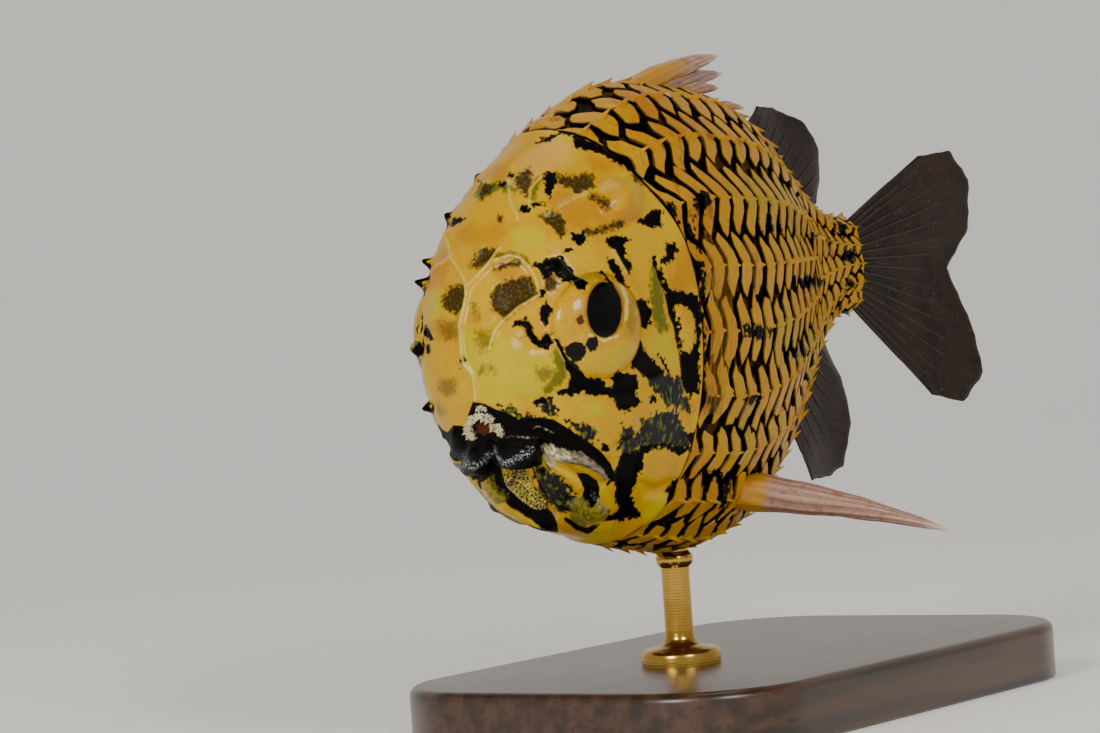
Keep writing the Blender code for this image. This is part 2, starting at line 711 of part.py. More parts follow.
def fin_sheet(roots, tips, sideways, steps, bow=None):
    """A closed fin between a row of roots and a row of tips. Each even column is a ray, raised on both
    faces, and each odd one is the thinner skin between two rays, which ends a little short of them."""
    columns = len(roots)
    shares = np.linspace(0, 1, steps)
    facing = np.asarray(sideways, float)
    points = []
    for face in (1, -1):
        for c in range(columns):
            ray = c % 2 == 0
            reach = tips[c] - roots[c] if ray else (tips[c] - roots[c]) * (1 - SCALLOP)
            root_half, tip_half = (RAY, RAY_TIP) if ray else (MEMBRANE, FIN_TIP)
            for t in shares:
                centre = roots[c] + reach * t
                if bow is not None:
                    centre = centre + facing * bow(c / (columns - 1), t)
                points.append(centre + facing * face * (root_half + (tip_half - root_half) * t))
    far = columns * steps
    faces = []
    for c in range(columns - 1):
        for k in range(steps - 1):
            a = c * steps + k
            b = a + steps
            faces += [(a, b, b + 1), (a, b + 1, a + 1)]
            faces += [(a + far, b + 1 + far, b + far), (a + far, a + 1 + far, b + 1 + far)]
    rim = [c * steps for c in range(columns)]
    rim += [(columns - 1) * steps + k for k in range(1, steps)]
    rim += [c * steps + steps - 1 for c in range(columns - 2, -1, -1)]
    rim += [k for k in range(steps - 2, 0, -1)]
    for a, b in zip(rim, rim[1:] + rim[:1]):
        faces.append((a, a + far, b + far, b))
    return points, faces


def median_fin(name, root_line, tip_line, rays, finishes, group):
    """A fin in the plane of symmetry, from root and tip curves given by a share from front to rear."""
    shares = np.linspace(0, 1, 2 * rays - 1)
    roots = [np.array(root_line(t)) for t in shares]
    tips = [np.array(tip_line(t)) for t in shares]
    points, faces = fin_sheet(roots, tips, (0, 1, 0), 4)
    return add_object(name, points, faces, finishes["fin"], group)


def polyline(points):
    """A function that walks along a line of points, from 0 at its start to 1 at its end."""
    points = np.asarray(points, float)
    lengths = np.concatenate([[0], np.cumsum(np.linalg.norm(np.diff(points, axis=0), axis=1))])
    lengths /= lengths[-1]
    return lambda t: np.array([np.interp(t, lengths, points[:, k]) for k in range(points.shape[1])])


def make_median_fins(finishes, group):
    def base(ends, column, off):
        def root(t):
            behind = ends[0] + (ends[1] - ends[0]) * t
            return behind, 0, float(section(behind)[column]) + off

        return root

    def rim(points):
        walk = polyline(np.array(points) * MM)
        return lambda t: (walk(t)[0], 0, walk(t)[1])

    seat = GAP + FIN_SEAT
    back = base(SOFT_DORSAL_BASE, 0, seat)
    median_fin("soft_dorsal_fin", back, rim(SOFT_DORSAL_RIM), SOFT_DORSAL_RAYS, finishes, group)
    belly = base(ANAL_BASE, 1, -seat)
    median_fin("anal_fin", belly, rim(ANAL_RIM), ANAL_RAYS, finishes, group)


def make_caudal_fin(finishes, group):
    """The tail fin, fanned out behind the tail and bent a little to the fish's left."""
    outline = polyline(np.array(CAUDAL_RIM) * MM)
    top, bottom = CAUDAL_ROOT
    along = np.array((math.cos(CAUDAL_BEND), math.sin(CAUDAL_BEND), 0))
    roots = []
    tips = []
    for t in np.linspace(0, 1, 2 * CAUDAL_RAYS - 1):
        reach, height = outline(t)
        roots.append(np.array((BODY_END + GAP, 0, top + (bottom - top) * t)))
        tips.append(np.array((BODY_END + GAP, 0, height)) + along * reach)
    facing = (-math.sin(CAUDAL_BEND), math.cos(CAUDAL_BEND), 0)
    points, faces = fin_sheet(roots, tips, facing, 5)
    add_object("caudal_fin", points, faces, finishes["fin"], group)


def foot_ring(behind, angle, half_along, half_around, height, count):
    """A ring that lies on the body, raised by the height: the root of whatever stands there."""
    turn = np.linspace(0, 2 * math.pi, count, endpoint=False)
    step = 0.01
    around = np.linalg.norm(body(behind, angle + step) - body(behind, angle - step)) / (2 * step)
    return raised(behind + half_along * np.cos(turn), angle + half_around / around * np.sin(turn), height)


def spike(root_ring, tip, radii, bend):
    """Rings of a tapering spike from a root ring to its tip, bowed by the bend at its middle."""
    root = np.mean(root_ring, axis=0)
    axis = (tip - root) / np.linalg.norm(tip - root)
    first = root_ring[0] - root
    first = first - axis * (first @ axis)
    first /= np.linalg.norm(first)
    second = np.cross(axis, first)
    if second @ (root_ring[len(root_ring) // 4] - root) < 0:
        second = -second
    rings = [list(root_ring)]
    for step, radius in enumerate(radii):
        t = (step + 1) / len(radii)
        centre = root + (tip - root) * t + bend * math.sin(math.pi * t)
        turn = np.linspace(0, 2 * math.pi, len(root_ring), endpoint=False)
        ring = centre + radius * (np.outer(np.cos(turn), first) + np.outer(np.sin(turn), second))
        rings.append(list(ring))
    return rings


def make_pelvic_fins(finishes, group):
    """The great spine of each pelvic fin, held out sideways from its root on the belly."""
    for side, name in ((1, "left"), (-1, "right")):
        root = foot_ring(PELVIC_BEHIND, PELVIC_ANGLE, *PELVIC_FOOT, GAP, 10) * (1, side, 1)
        bend = PELVIC_BEND * (1, side, 1)
        shares = np.linspace(0, 1, PELVIC_RINGS + 1)[1:]
        radii = PELVIC_RADIUS * (1 - shares) ** 0.8 + PELVIC_TIP_RADIUS
        points, faces = loft(spike(root, PELVIC_TIPS[name], radii, bend))
        add_object(f"pelvic_fin_{name}", points, faces, finishes["spine"], group)


def make_pectoral_fins(finishes, group):
    """Each pectoral fin, a narrow waved fan held up along the flank."""

    def bow(across, t):
        return PECTORAL_ARCH * math.sin(math.pi * t) + PECTORAL_WAVE * t * math.sin(PECTORAL_WAVES * across)

    front, rear = PECTORAL_BEHIND
    for side, name in ((1, "left"), (-1, "right")):
        mirror = (1, side, 1)
        roots = []
        tips = []
        for t in np.linspace(0, 1, 2 * PECTORAL_RAYS - 1):
            root = raised(front + (rear - front) * t, PECTORAL_ANGLE, GAP + PECTORAL_STAND_OFF)
            roots.append(root * mirror)
            tips.append((PECTORAL_RIM + PECTORAL_RIM_REACH * t) * mirror)
        points, faces = fin_sheet(roots, tips, (0, side, 0), 6, bow)
        add_object(f"pectoral_fin_{name}", points, faces, finishes["fin"], group)


def base_outline(inset):
    """The rounded rectangle of the base, drawn in by the inset."""
    corner = BASE_CORNER - inset
    half_length = BASE_LENGTH / 2 - BASE_CORNER
    half_width = BASE_WIDTH / 2 - BASE_CORNER
    outline = []
    for quarter, (sign_x, sign_y) in enumerate(((1, 1), (-1, 1), (-1, -1), (1, -1))):
        for turn in math.pi / 2 * (quarter + np.linspace(0, 1, BASE_CORNER_POINTS)):
            x = sign_x * half_length + corner * math.cos(turn)
            outline.append((x, sign_y * half_width + corner * math.sin(turn)))
    return outline


def make_stand(finishes, group):
    floor = -AXIS_HEIGHT
    levels = ((0, 0), (BASE_HEIGHT - BASE_CHAMFER, 0), (BASE_HEIGHT, BASE_CHAMFER))
    rings = []
    for height, inset in levels:
        rings.append([(BASE_BEHIND_SNOUT + x, y, floor + height) for x, y in base_outline(inset)])
    points, faces = loft(rings)
    add_object("stand_base", points, faces, finishes["base"], group)

    foot = floor + BASE_HEIGHT + GAP
    top = float(section(ROD_BEHIND_SNOUT)[1]) - GAP
    profile = (
        (foot, ROD_FOOT_RADIUS),
        (foot + 1.0 * MM, ROD_FOOT_RADIUS),
        (foot + 1.4 * MM, ROD_FOOT_RIM),
        (foot + 1.5 * MM, ROD_RADIUS),
        (top, ROD_RADIUS),
    )
    turns = np.linspace(0, 2 * math.pi, ROD_POINTS, endpoint=False)
    rings = []
    for height, radius in profile:
        ring = [(ROD_BEHIND_SNOUT + radius * math.cos(a), radius * math.sin(a), height) for a in turns]
        rings.append(ring)
    points, faces = loft(rings)
    add_object("stand_rod", points, faces, finishes["rod"], group)


def main():
    clear_scene()
    group = bpy.data.collections.new("pineapplefish")
    cutters = bpy.data.collections.new("cutters")
    for made in (group, cutters):
        bpy.context.scene.collection.children.link(made)
    finishes = {
        "skin": material("skin", "#e9b80b", 0.4),
        "eye": material("eye", "#0d0d12", 0.1),
        "fin": material("fin", "#3b2a1f", 0.5),
        "spine": material("spine", "#b08a72", 0.6),
        "base": material("base", "#1c1a19", 0.35),
        "rod": material("rod", "#b99a5b", 0.3, 1.0),
    }
    make_head(finishes, group, cutters)
    make_body(finishes, group, cutters)
    make_median_fins(finishes, group)
    make_caudal_fin(finishes, group)
    make_pelvic_fins(finishes, group)
    make_pectoral_fins(finishes, group)
    make_stand(finishes, group)
    for obj in list(cutters.objects):
        bpy.data.objects.remove(obj, do_unlink=True)


main()
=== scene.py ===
# %% [markdown]
# A young pineapplefish, dressed as a life-size museum model. The solids of the frame give its true size
# and outline, and this file gives it its looks: one fine skin, a coat of bony plates, eyes, fins and spines.
# Everything is worked out in millimetres in the fish's own directions: how far behind the tip of the snout,
# how far to the fish's left, and how far above the body's axis.

import math

import bmesh
import bpy
import numpy as np
from mathutils import Matrix

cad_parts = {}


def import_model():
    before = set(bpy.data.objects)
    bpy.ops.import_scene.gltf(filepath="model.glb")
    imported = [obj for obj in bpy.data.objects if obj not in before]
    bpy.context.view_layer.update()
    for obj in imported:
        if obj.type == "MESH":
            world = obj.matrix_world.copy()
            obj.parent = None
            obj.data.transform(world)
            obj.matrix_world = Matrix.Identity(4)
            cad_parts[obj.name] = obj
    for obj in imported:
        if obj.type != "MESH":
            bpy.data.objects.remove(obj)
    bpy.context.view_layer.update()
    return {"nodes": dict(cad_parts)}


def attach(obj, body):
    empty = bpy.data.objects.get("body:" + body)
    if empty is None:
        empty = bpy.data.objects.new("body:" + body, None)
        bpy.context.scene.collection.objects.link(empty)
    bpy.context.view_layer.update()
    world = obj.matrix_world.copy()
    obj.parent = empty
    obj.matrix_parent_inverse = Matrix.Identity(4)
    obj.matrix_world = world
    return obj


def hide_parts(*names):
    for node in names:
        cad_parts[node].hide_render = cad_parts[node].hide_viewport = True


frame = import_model()
rng = np.random.default_rng(23)

MM = 0.001
BASE_BEHIND_SNOUT = 37.0
AXIS_HEIGHT = 36.4


def world(points):
    """The fish's millimetres as metres in the frame, where the snout points to -X and its left to -Y."""
    return (np.asarray(points, float) * (1, -1, 1) + (-BASE_BEHIND_SNOUT, 0, AXIS_HEIGHT)) * MM


def fish(points):
    """Metres in the frame as the fish's millimetres."""
    return (np.asarray(points, float) / MM - (-BASE_BEHIND_SNOUT, 0, AXIS_HEIGHT)) * (1, -1, 1)


print("solids:", sorted(frame["nodes"]))


# %% [markdown]
# The camera comes first, because the paint is laid out with it. The photograph looks at the fish from its
# left front with a long lens. Three directions and a place hold that view, and photo() turns any point of the
# fish into the photograph's pixels, 1100 wide. A mark that is seen at a pixel can then be painted on the skin
# at the place that lies behind that pixel, and it stays on the skin from every side.

# %% The camera
PHOTO_MIDDLE = (550.0, 366.5)
PHOTO_FOCUS = 3900.0
PHOTO_WIDTH = 1100.0
SENSOR = 36.0
CAMERA_AXES = np.array(((-0.5879, 0.8059, -0.0699), (-0.0608, 0.0422, 0.9973), (0.8067, 0.5905, 0.0241)))
CAMERA_SHIFT = np.array((-7.438, 4.281, -308.566))
PIXELS_PER_MM = 12.6
CAMERA_PLACE = -(CAMERA_AXES.T @ CAMERA_SHIFT) * (-1, 1, 1)


def photo(points):
    """The photograph's pixel in front of each point of the fish."""
    seen = (points * (-1, 1, 1)) @ CAMERA_AXES.T + CAMERA_SHIFT
    across = PHOTO_MIDDLE[0] - PHOTO_FOCUS * seen[..., 0] / seen[..., 2]
    down = PHOTO_MIDDLE[1] + PHOTO_FOCUS * seen[..., 1] / seen[..., 2]
    return np.stack([across, down], axis=-1)


camera = bpy.data.objects.new("camera", bpy.data.cameras.new("camera"))
camera.data.sensor_width = SENSOR
camera.data.sensor_fit = "HORIZONTAL"
camera.data.lens = PHOTO_FOCUS / PHOTO_WIDTH * SENSOR
camera.data.clip_start = 0.01
right, above, back = CAMERA_AXES * (-1, -1, 1)
pose = Matrix(np.column_stack([right, above, back]).tolist()).to_4x4()
pose.translation = world(CAMERA_PLACE)
camera.matrix_world = pose
bpy.context.scene.collection.objects.link(camera)
bpy.context.scene.camera = camera
print("camera at, mm:", [round(side / MM, 1) for side in camera.location], "lens", round(camera.data.lens, 1))


# %% [markdown]
# Every finish is a small net of nodes. One function adds a node, sets it and links it. Colours are written
# as the hex values that a paint chart would give, and turned to the linear values that Blender works with.

# %% Colours and nodes
def linear(chip):
    """A hex colour as linear red, green, blue and a full alpha."""
    channels = [int(chip[i : i + 2], 16) / 255 for i in (1, 3, 5)]
    return (*(c / 12.92 if c <= 0.04045 else ((c + 0.055) / 1.055) ** 2.4 for c in channels), 1.0)


def add(tree, kind, inputs=None, **settings):
    """Adds a node. Inputs maps a socket's name or number to a value or to the socket that feeds it."""
    node = tree.nodes.new(kind)
    for name, value in settings.items():
        setattr(node, name, value)
    for key, value in (inputs or {}).items():
        if isinstance(value, bpy.types.NodeSocket):
            tree.links.new(value, node.inputs[key])
        else:
            node.inputs[key].default_value = value
    return node


def new_finish(name, roughness, more=None):
    """A material with a Principled shader, which refracts as most resins and paints do unless told more,
    and the object's own coordinates."""
    made = bpy.data.materials.new(name)
    made.use_nodes = True
    tree = made.node_tree
    shader = tree.nodes["Principled BSDF"]
    for socket, value in {"Roughness": roughness, "IOR": 1.5, **(more or {})}.items():
        shader.inputs[socket].default_value = value
    place = add(tree, "ShaderNodeTexCoord").outputs["Object"]
    return made, tree, shader, place


def grains(tree, place, size, detail=2.0, stretch=(1, 1, 1)):
    """Cloudy noise whose grains are about this many millimetres, longer where the stretch is smaller."""
    turned = add(tree, "ShaderNodeMapping", {"Vector": place, "Scale": stretch})
    cloud = {"Vector": turned.outputs["Vector"], "Scale": 1 / (size * MM), "Detail": detail}
    return add(tree, "ShaderNodeTexNoise", cloud).outputs["Fac"]


def clouds(tree, place, size, low, high, least=0.0, most=1.0, detail=3.0, stretch=(1, 1, 1)):
    """Cloudy noise as a share that grows smoothly from least to most between two of its values."""
    noise = grains(tree, place, size, detail, stretch)
    ends = {"Value": noise, "From Min": low, "From Max": high, "To Min": least, "To Max": most}
    return add(tree, "ShaderNodeMapRange", ends, interpolation_type="SMOOTHSTEP").outputs["Result"]


def graded(tree, name, low, high, least=0.0, most=1.0):
    """A number that the mesh carries, as a share that grows smoothly from least to most."""
    number = add(tree, "ShaderNodeAttribute", attribute_name=name).outputs["Fac"]
    ends = {"Value": number, "From Min": low, "From Max": high, "To Min": least, "To Max": most}
    return add(tree, "ShaderNodeMapRange", ends, interpolation_type="SMOOTHSTEP").outputs["Result"]


def painted(tree, place, field, ragged, grain, soft=0.05, most=1.0):
    """1 inside the marks of a field, whose values are millimetres from their edge, with a ragged edge."""
    edge = add(tree, "ShaderNodeAttribute", attribute_name=field).outputs["Fac"]
    fray = clouds(tree, place, grain, 0.3, 0.7, -ragged, ragged)
    shifted = add(tree, "ShaderNodeMath", {0: edge, 1: fray}, operation="ADD").outputs[0]
    ends = {"Value": shifted, "From Min": -soft, "From Max": soft, "To Min": most, "To Max": 0.0}
    return add(tree, "ShaderNodeMapRange", ends, interpolation_type="SMOOTHSTEP").outputs["Result"]


def laid(tree, base, *coats):
    """Coats of colour laid over a base one after another, each by its share of cover."""
    colour = linear(base) if isinstance(base, str) else base
    for share, chip in coats:
        above = linear(chip) if isinstance(chip, str) else chip
        mixed = add(tree, "ShaderNodeMix", {0: share, 6: colour, 7: above}, data_type="RGBA")
        colour = mixed.outputs[2]
    return colour


def dress(tree, shader, colour, height=None, depth=0.0, strength=1.0):
    """Gives the shader its colour, and a relief that is this many millimetres deep."""
    tree.links.new(colour, shader.inputs["Base Color"])
    if height is not None:
        bump = add(tree, "ShaderNodeBump", {"Height": height, "Distance": depth * MM, "Strength": strength})
        tree.links.new(bump.outputs["Normal"], shader.inputs["Normal"])


print("a golden yellow, linear:", [round(c, 3) for c in linear("#f5be00")])


# %% [markdown]
# The body is a loft: thirteen sections say how high the back, how low the belly and how wide the flanks are.
# A smooth curve runs through them along the square root of the distance, which rounds the snout. The skin,
# the plates and every fin's root are all placed on this one surface, as the solids are.

# %% The body's surface
STANDARD_LENGTH = 60.0
BODY_END = 59.0
SECTIONS = np.array(
    (
        (0.0, -4.2, -4.2, 0.0, -4.2),
        (0.9, -0.7, -7.7, 3.6, -4.2),
        (2.4, 3.4, -10.7, 5.3, -3.4),
        (5.4, 8.5, -14.5, 7.6, -2.2),
        (9.6, 12.2, -17.8, 9.0, -1.2),
        (15.0, 15.1, -19.4, 9.7, -0.6),
        (21.6, 17.7, -20.8, 10.0, -0.2),
        (29.4, 17.8, -21.4, 9.6, 0.0),
        (36.5, 16.7, -19.3, 8.2, 0.2),
        (43.3, 13.6, -14.2, 5.8, 0.4),
        (49.7, 8.9, -7.3, 3.4, 0.8),
        (54.7, 6.2, -3.4, 2.3, 1.2),
        (60.0, 5.6, -2.6, 1.5, 1.5),
    )
)
UPPER_FULLNESS = 2.0
LOWER_FULLNESS = 2.2
EDGE_NAPE = 13.8
EDGE_FLANK = 19.6
EDGE_THROAT = 16.6
EDGE_WIDEST = 0.58
SHOULDER_AHEAD = 1.0


def smooth(low, high, value):
    """0 up to the low value, 1 from the high one on, and a smooth step between them."""
    t = np.clip((value - low) / (high - low), 0, 1)
    return t * t * (3 - 2 * t)


def section(behind):
    """Back, belly, half width and widest height at a distance behind the snout."""
    knots = np.sqrt(SECTIONS[:, 0] / STANDARD_LENGTH)
    share = np.sqrt(np.clip(behind, 0, STANDARD_LENGTH) / STANDARD_LENGTH)
    slopes = np.gradient(SECTIONS[:, 1:], knots, axis=0)
    left = np.clip(np.searchsorted(knots, share) - 1, 0, len(knots) - 2)
    span = knots[left + 1] - knots[left]
    t = (share - knots[left]) / span
    found = []
    for column in range(4):
        values = SECTIONS[:, column + 1]
        found.append(
            (2 * t**3 - 3 * t**2 + 1) * values[left]
            + (t**3 - 2 * t**2 + t) * span * slopes[left, column]
            + (3 * t**2 - 2 * t**3) * values[left + 1]
            + (t**3 - t**2) * span * slopes[left + 1, column]
        )
    return found


def body(behind, angle):
    """A point of the body: angle 0 on the back, a quarter turn on the left side, a half turn on the belly."""
    behind, angle = np.broadcast_arrays(np.asarray(behind, float), np.asarray(angle, float))
    top, bottom, half_width, widest = section(behind)
    c, s = np.cos(angle), np.sin(angle)
    fullness = np.where(c > 0, UPPER_FULLNESS, LOWER_FULLNESS)
    up = np.sign(c) * np.abs(c) ** (2 / fullness)
    side = np.sign(s) * np.abs(s) ** (2 / fullness)
    height = widest + np.where(c > 0, top - widest, widest - bottom) * up
    return np.stack([behind, half_width * side, height], axis=-1)


def body_normal(behind, angle):
    """The way straight out of the body at a point of it."""
    step, turn = 0.05, 0.01
    behind = np.maximum(behind, 2 * step)
    along = body(behind + step, angle) - body(behind - step, angle)
    around = body(behind, angle + turn) - body(behind, angle - turn)
    normal = np.cross(along, around)
    return normal / np.linalg.norm(normal, axis=-1, keepdims=True)


def gill_edge(angle):
    """How far behind the snout the gill cover ends, at an angle round the body."""
    share = np.abs((np.asarray(angle) + math.pi) % (2 * math.pi) - math.pi) / math.pi
    rise = (1 - np.cos(math.pi * np.clip(share / EDGE_WIDEST, 0, 1))) / 2
    fall = (1 - np.cos(math.pi * np.clip((share - EDGE_WIDEST) / (1 - EDGE_WIDEST), 0, 1))) / 2
    edge = EDGE_NAPE + (EDGE_FLANK - EDGE_NAPE) * rise + (EDGE_THROAT - EDGE_FLANK) * fall
    return edge - SHOULDER_AHEAD * smooth(0.42, 0.28, share)


top, bottom, half_width, _ = section(27.0)
print("the body at its deepest, mm:", round(top - bottom, 1), "deep and", round(2 * half_width, 1), "wide")


# %% [markdown]
# The fish's pattern is not a rule but a drawing: black sutures, blotches with pale grains, bony ridges and a
# mouth of many colours. Each mark is a named area or line, its corners picked in the photograph's
# pixels. Marks of one kind share a field: a number on every point of the skin that says how many millimetres
# it lies outside the nearest mark. Such a field stays sharp on a coarse mesh, and noise can fray its edge.
# The first kind is the black pigment that runs along the seams of the bones.

# %% Black marks of the head
def area(*corners):
    """An area, as the corners round it: across, down, across, down and so on."""
    return None, tuple(zip(corners[::2], corners[1::2]))


def line(half_width, *places):
    """A line, as half its width and the places that it passes, in the same way."""
    return half_width, tuple(zip(places[::2], places[1::2]))


def spot(x, y, radius):
    """A round spot, as a line that stays in one place."""
    return radius, ((x, y), (x, y))


BLACK = {
    "nape_suture": area(
        572, 134, 585, 141, 600, 148, 609, 147, 621, 160, 622, 168, 603, 156, 588, 151, 575, 147
    ),
    "nape_line": line(1.7, 537, 142, 552, 138, 563, 134, 576, 136),
    "shoulder_line": line(2.6, 608, 152, 625, 166, 640, 178, 655, 195, 668, 206),
    "shoulder_corner": area(638, 222, 653, 210, 661, 211, 661, 227, 648, 227),
    "crest_thorn": area(443, 214, 452, 217, 465, 219, 458, 225, 446, 228),
    "brow_dot": spot(524, 209, 4.2),
    "brow_line": line(1.2, 528, 211, 536, 205, 545, 204),
    "crown_dots": line(1.8, 510, 175, 512, 177),
    "crown_bar": line(2.2, 499, 184, 504, 185),
    "crown_edge": line(1.6, 475, 180, 480, 182),
    "brow_block": area(544, 174, 557, 171, 556, 184, 550, 198, 546, 192),
    "brow_lower": area(571, 234, 584, 232, 587, 240, 580, 247, 573, 241),
    "brow_dash": line(1.6, 565, 251, 572, 249),
    "far_thorn": area(429, 252, 426, 266, 418, 270, 420, 258),
    "far_thorn_low": area(409, 282, 420, 273, 429, 277, 421, 287),
    "far_bump": area(415, 322, 422, 321, 431, 332, 434, 340, 424, 338),
    "far_nostril": spot(424, 349, 6.5),
    "far_chin": area(424, 403, 432, 404, 440, 411, 433, 414),
    "ridge_triangle": area(463, 357, 466, 361, 460, 368),
    "before_eye": area(
        533, 263, 541, 262, 549, 258, 563, 257, 567, 264, 572, 270, 575, 276, 588, 283, 586, 291, 579, 290,
        571, 281, 563, 282, 558, 276, 552, 273, 546, 278, 541, 276, 538, 269
    ),
    "cheek_drop": area(546, 300, 552, 309, 549, 316, 546, 326, 540, 321, 541, 310),
    "nostril_crescent": area(
        513, 326, 518, 320, 526, 318, 533, 325, 535, 335, 541, 341, 546, 332, 551, 335, 552, 343, 547, 350,
        538, 347, 531, 341, 528, 336, 526, 330, 521, 325
    ),
    "brow_slit": area(607, 258, 613, 260, 622, 273, 628, 288, 619, 283, 611, 271),
    "lid_line": line(1.2, 602, 272, 609, 281, 615, 291),
    "above_eye": area(
        606, 238, 622, 236, 630, 240, 624, 246, 627, 258, 632, 271, 628, 275, 622, 271, 618, 260, 614, 250,
        608, 247
    ),
    "below_eye": area(
        553, 338, 560, 341, 564, 351, 571, 361, 579, 367, 588, 378, 601, 379, 607, 387, 613, 387, 611, 378,
        618, 371, 626, 373, 635, 376, 639, 385, 634, 391, 640, 403, 637, 409, 631, 408, 623, 412, 616, 408,
        614, 400, 605, 395, 593, 395, 581, 391, 572, 395, 562, 394, 552, 392, 566, 388, 570, 378, 566, 367,
        560, 354
    ),
    "behind_eye_low": area(
        621, 346, 631, 338, 635, 335, 641, 344, 645, 355, 657, 362, 663, 372, 654, 379, 645, 378, 639, 371,
        631, 368, 631, 358, 624, 358
    ),
    "behind_eye": area(637, 300, 647, 299, 650, 307, 651, 323, 645, 328, 638, 327, 636, 313),
    "cheek_line": line(2.4, 655, 258, 659, 270, 664, 284, 670, 294, 671, 309, 677, 326, 681, 348),
    "gill_crescent": area(665, 244, 673, 242, 677, 249, 675, 257, 668, 264, 661, 263, 666, 256),
    "gill_ring": area(
        665, 293, 677, 290, 694, 295, 699, 304, 698, 347, 697, 393, 690, 395, 683, 387, 680, 353, 690, 353,
        694, 341, 694, 320, 689, 309, 682, 304, 674, 306, 670, 305
    ),
    "cheek_slit": line(1.3, 659, 355, 664, 363, 670, 376),
    "jaw_joint": area(534, 402, 541, 398, 549, 397, 546, 404, 538, 405),
    "cheek_dot": spot(651, 399, 3.4),
    "cheek_dots_low": area(600, 443, 606, 446, 607, 451, 601, 450),
    "rear_of_mouth": area(
        616, 468, 622, 455, 640, 450, 642, 462, 636, 480, 631, 496, 640, 516, 620, 522, 608, 519, 619, 510,
        616, 502, 615, 485
    ),
    "throat_bar": area(665, 489, 675, 476, 686, 493, 693, 497, 681, 522, 674, 528, 670, 508),
    "gill_foot_bar": area(
        704, 413, 716, 418, 730, 421, 727, 438, 718, 435, 707, 437, 690, 447, 684, 436, 695, 430
    ),
    "cheek_foot": area(640, 446, 664, 443, 686, 447, 680, 455, 664, 447, 650, 449, 636, 461),
    "throat_fork": area(
        703, 477, 721, 472, 730, 452, 727, 475, 723, 494, 723, 520, 717, 520, 716, 494, 707, 487, 696, 507,
        689, 507, 697, 489
    ),
}
print(len(BLACK), "black marks")


# %% [markdown]
# The lips and the folds of the jaw are black too, but smooth: wet skin without grains. Their marks are kept
# apart from the pigment of the bones, so that their edges can be painted clean.

# %% Black of the mouth
INK = {
    "lip_and_mouth": area(
        448, 432, 454, 425, 467, 426, 469, 412, 475, 400, 485, 402, 496, 408, 507, 412, 518, 419, 531, 417,
        543, 417, 555, 420, 569, 429, 586, 440, 600, 451, 610, 463, 617, 477, 614, 483, 606, 477, 595, 467,
        578, 454, 560, 449, 546, 446, 543, 460, 542, 471, 532, 471, 518, 474, 499, 474, 486, 481, 474, 484,
        462, 481, 453, 473, 448, 458
    ),
    "jaw_wedge": area(577, 474, 588, 475, 598, 482, 602, 494, 594, 506, 588, 509, 581, 500, 584, 488),
    "jaw_cleft": line(5.2, 493, 481, 502, 492, 514, 505, 526, 513, 540, 520, 552, 525, 553, 532),
    "jaw_foot": line(2.2, 566, 519, 577, 528, 588, 532, 603, 528, 612, 519),
    "jaw_rim": line(3.4, 478, 482, 485, 497, 496, 510, 508, 519, 522, 525, 536, 529, 547, 532),
    "organ_line": line(1.0, 532, 474, 541, 487, 552, 505),
    "streak_line": line(0.8, 547, 468, 558, 476, 568, 485, 575, 494),
    "maxilla_line": line(1.3, 606, 469, 612, 478, 607, 485),
}
print(len(INK), "smooth black marks")


# %% [markdown]
# Between the bones lie blotches in which the pigment is a fine grain: brown-black ones on the forehead, faint
# ones on the snout, green-black mottling on the cheek, and an olive bloom along the rims of some plates. The
# same green-black mottling paints a shadow in the crease above the lip.

# %% Blotches of the head
SPECKLED = {
    "crown": area(478, 189, 482, 183, 496, 185, 492, 191, 482, 200),
    "crown_middle": area(515, 178, 522, 171, 530, 167, 533, 182, 528, 199, 520, 191, 515, 184),
    "brow": area(570, 176, 592, 173, 595, 187, 578, 195, 570, 189, 558, 184, 557, 174),
    "brow_left": area(538, 215, 557, 211, 565, 218, 567, 233, 561, 238, 553, 228, 546, 222),
    "brow_trail": line(3.6, 586, 233, 600, 231, 612, 226, 620, 225),
    "brow_smudge": line(3.0, 592, 197, 599, 201, 605, 209),
    "swelling_corner": area(631, 173, 640, 172, 645, 187, 632, 185),
    "forehead_dot": spot(500, 219, 3.2),
    "forehead": area(470, 267, 474, 257, 483, 248, 498, 248, 492, 260, 481, 269),
    "ahead_of_eye": area(
        489, 302, 492, 290, 503, 281, 518, 278, 532, 275, 537, 291, 538, 296, 518, 309, 505, 320, 493, 311
    ),
    "middle": area(442, 297, 450, 285, 464, 285, 466, 296, 463, 309, 457, 315, 449, 311, 441, 307),
    "arc_smudge": line(2.2, 495, 270, 508, 265, 520, 264),
    "eye_corner": area(543, 276, 552, 272, 560, 283, 554, 292, 546, 291),
}
FAINT = {
    "middle_low": area(437, 323, 457, 321, 459, 337, 447, 342),
    "ahead_low": area(476, 332, 493, 333, 492, 347, 481, 353),
    "ahead_line": line(2.5, 474, 306, 476, 318),
    "snout": area(439, 379, 455, 378, 457, 391, 448, 398, 439, 391),
    "cheek": area(534, 369, 547, 367, 555, 374, 548, 382, 537, 379),
    "swirl": line(2.4, 482, 372, 488, 367, 495, 371),
    "jaw_front": area(428, 404, 437, 402, 446, 412, 438, 420),
}
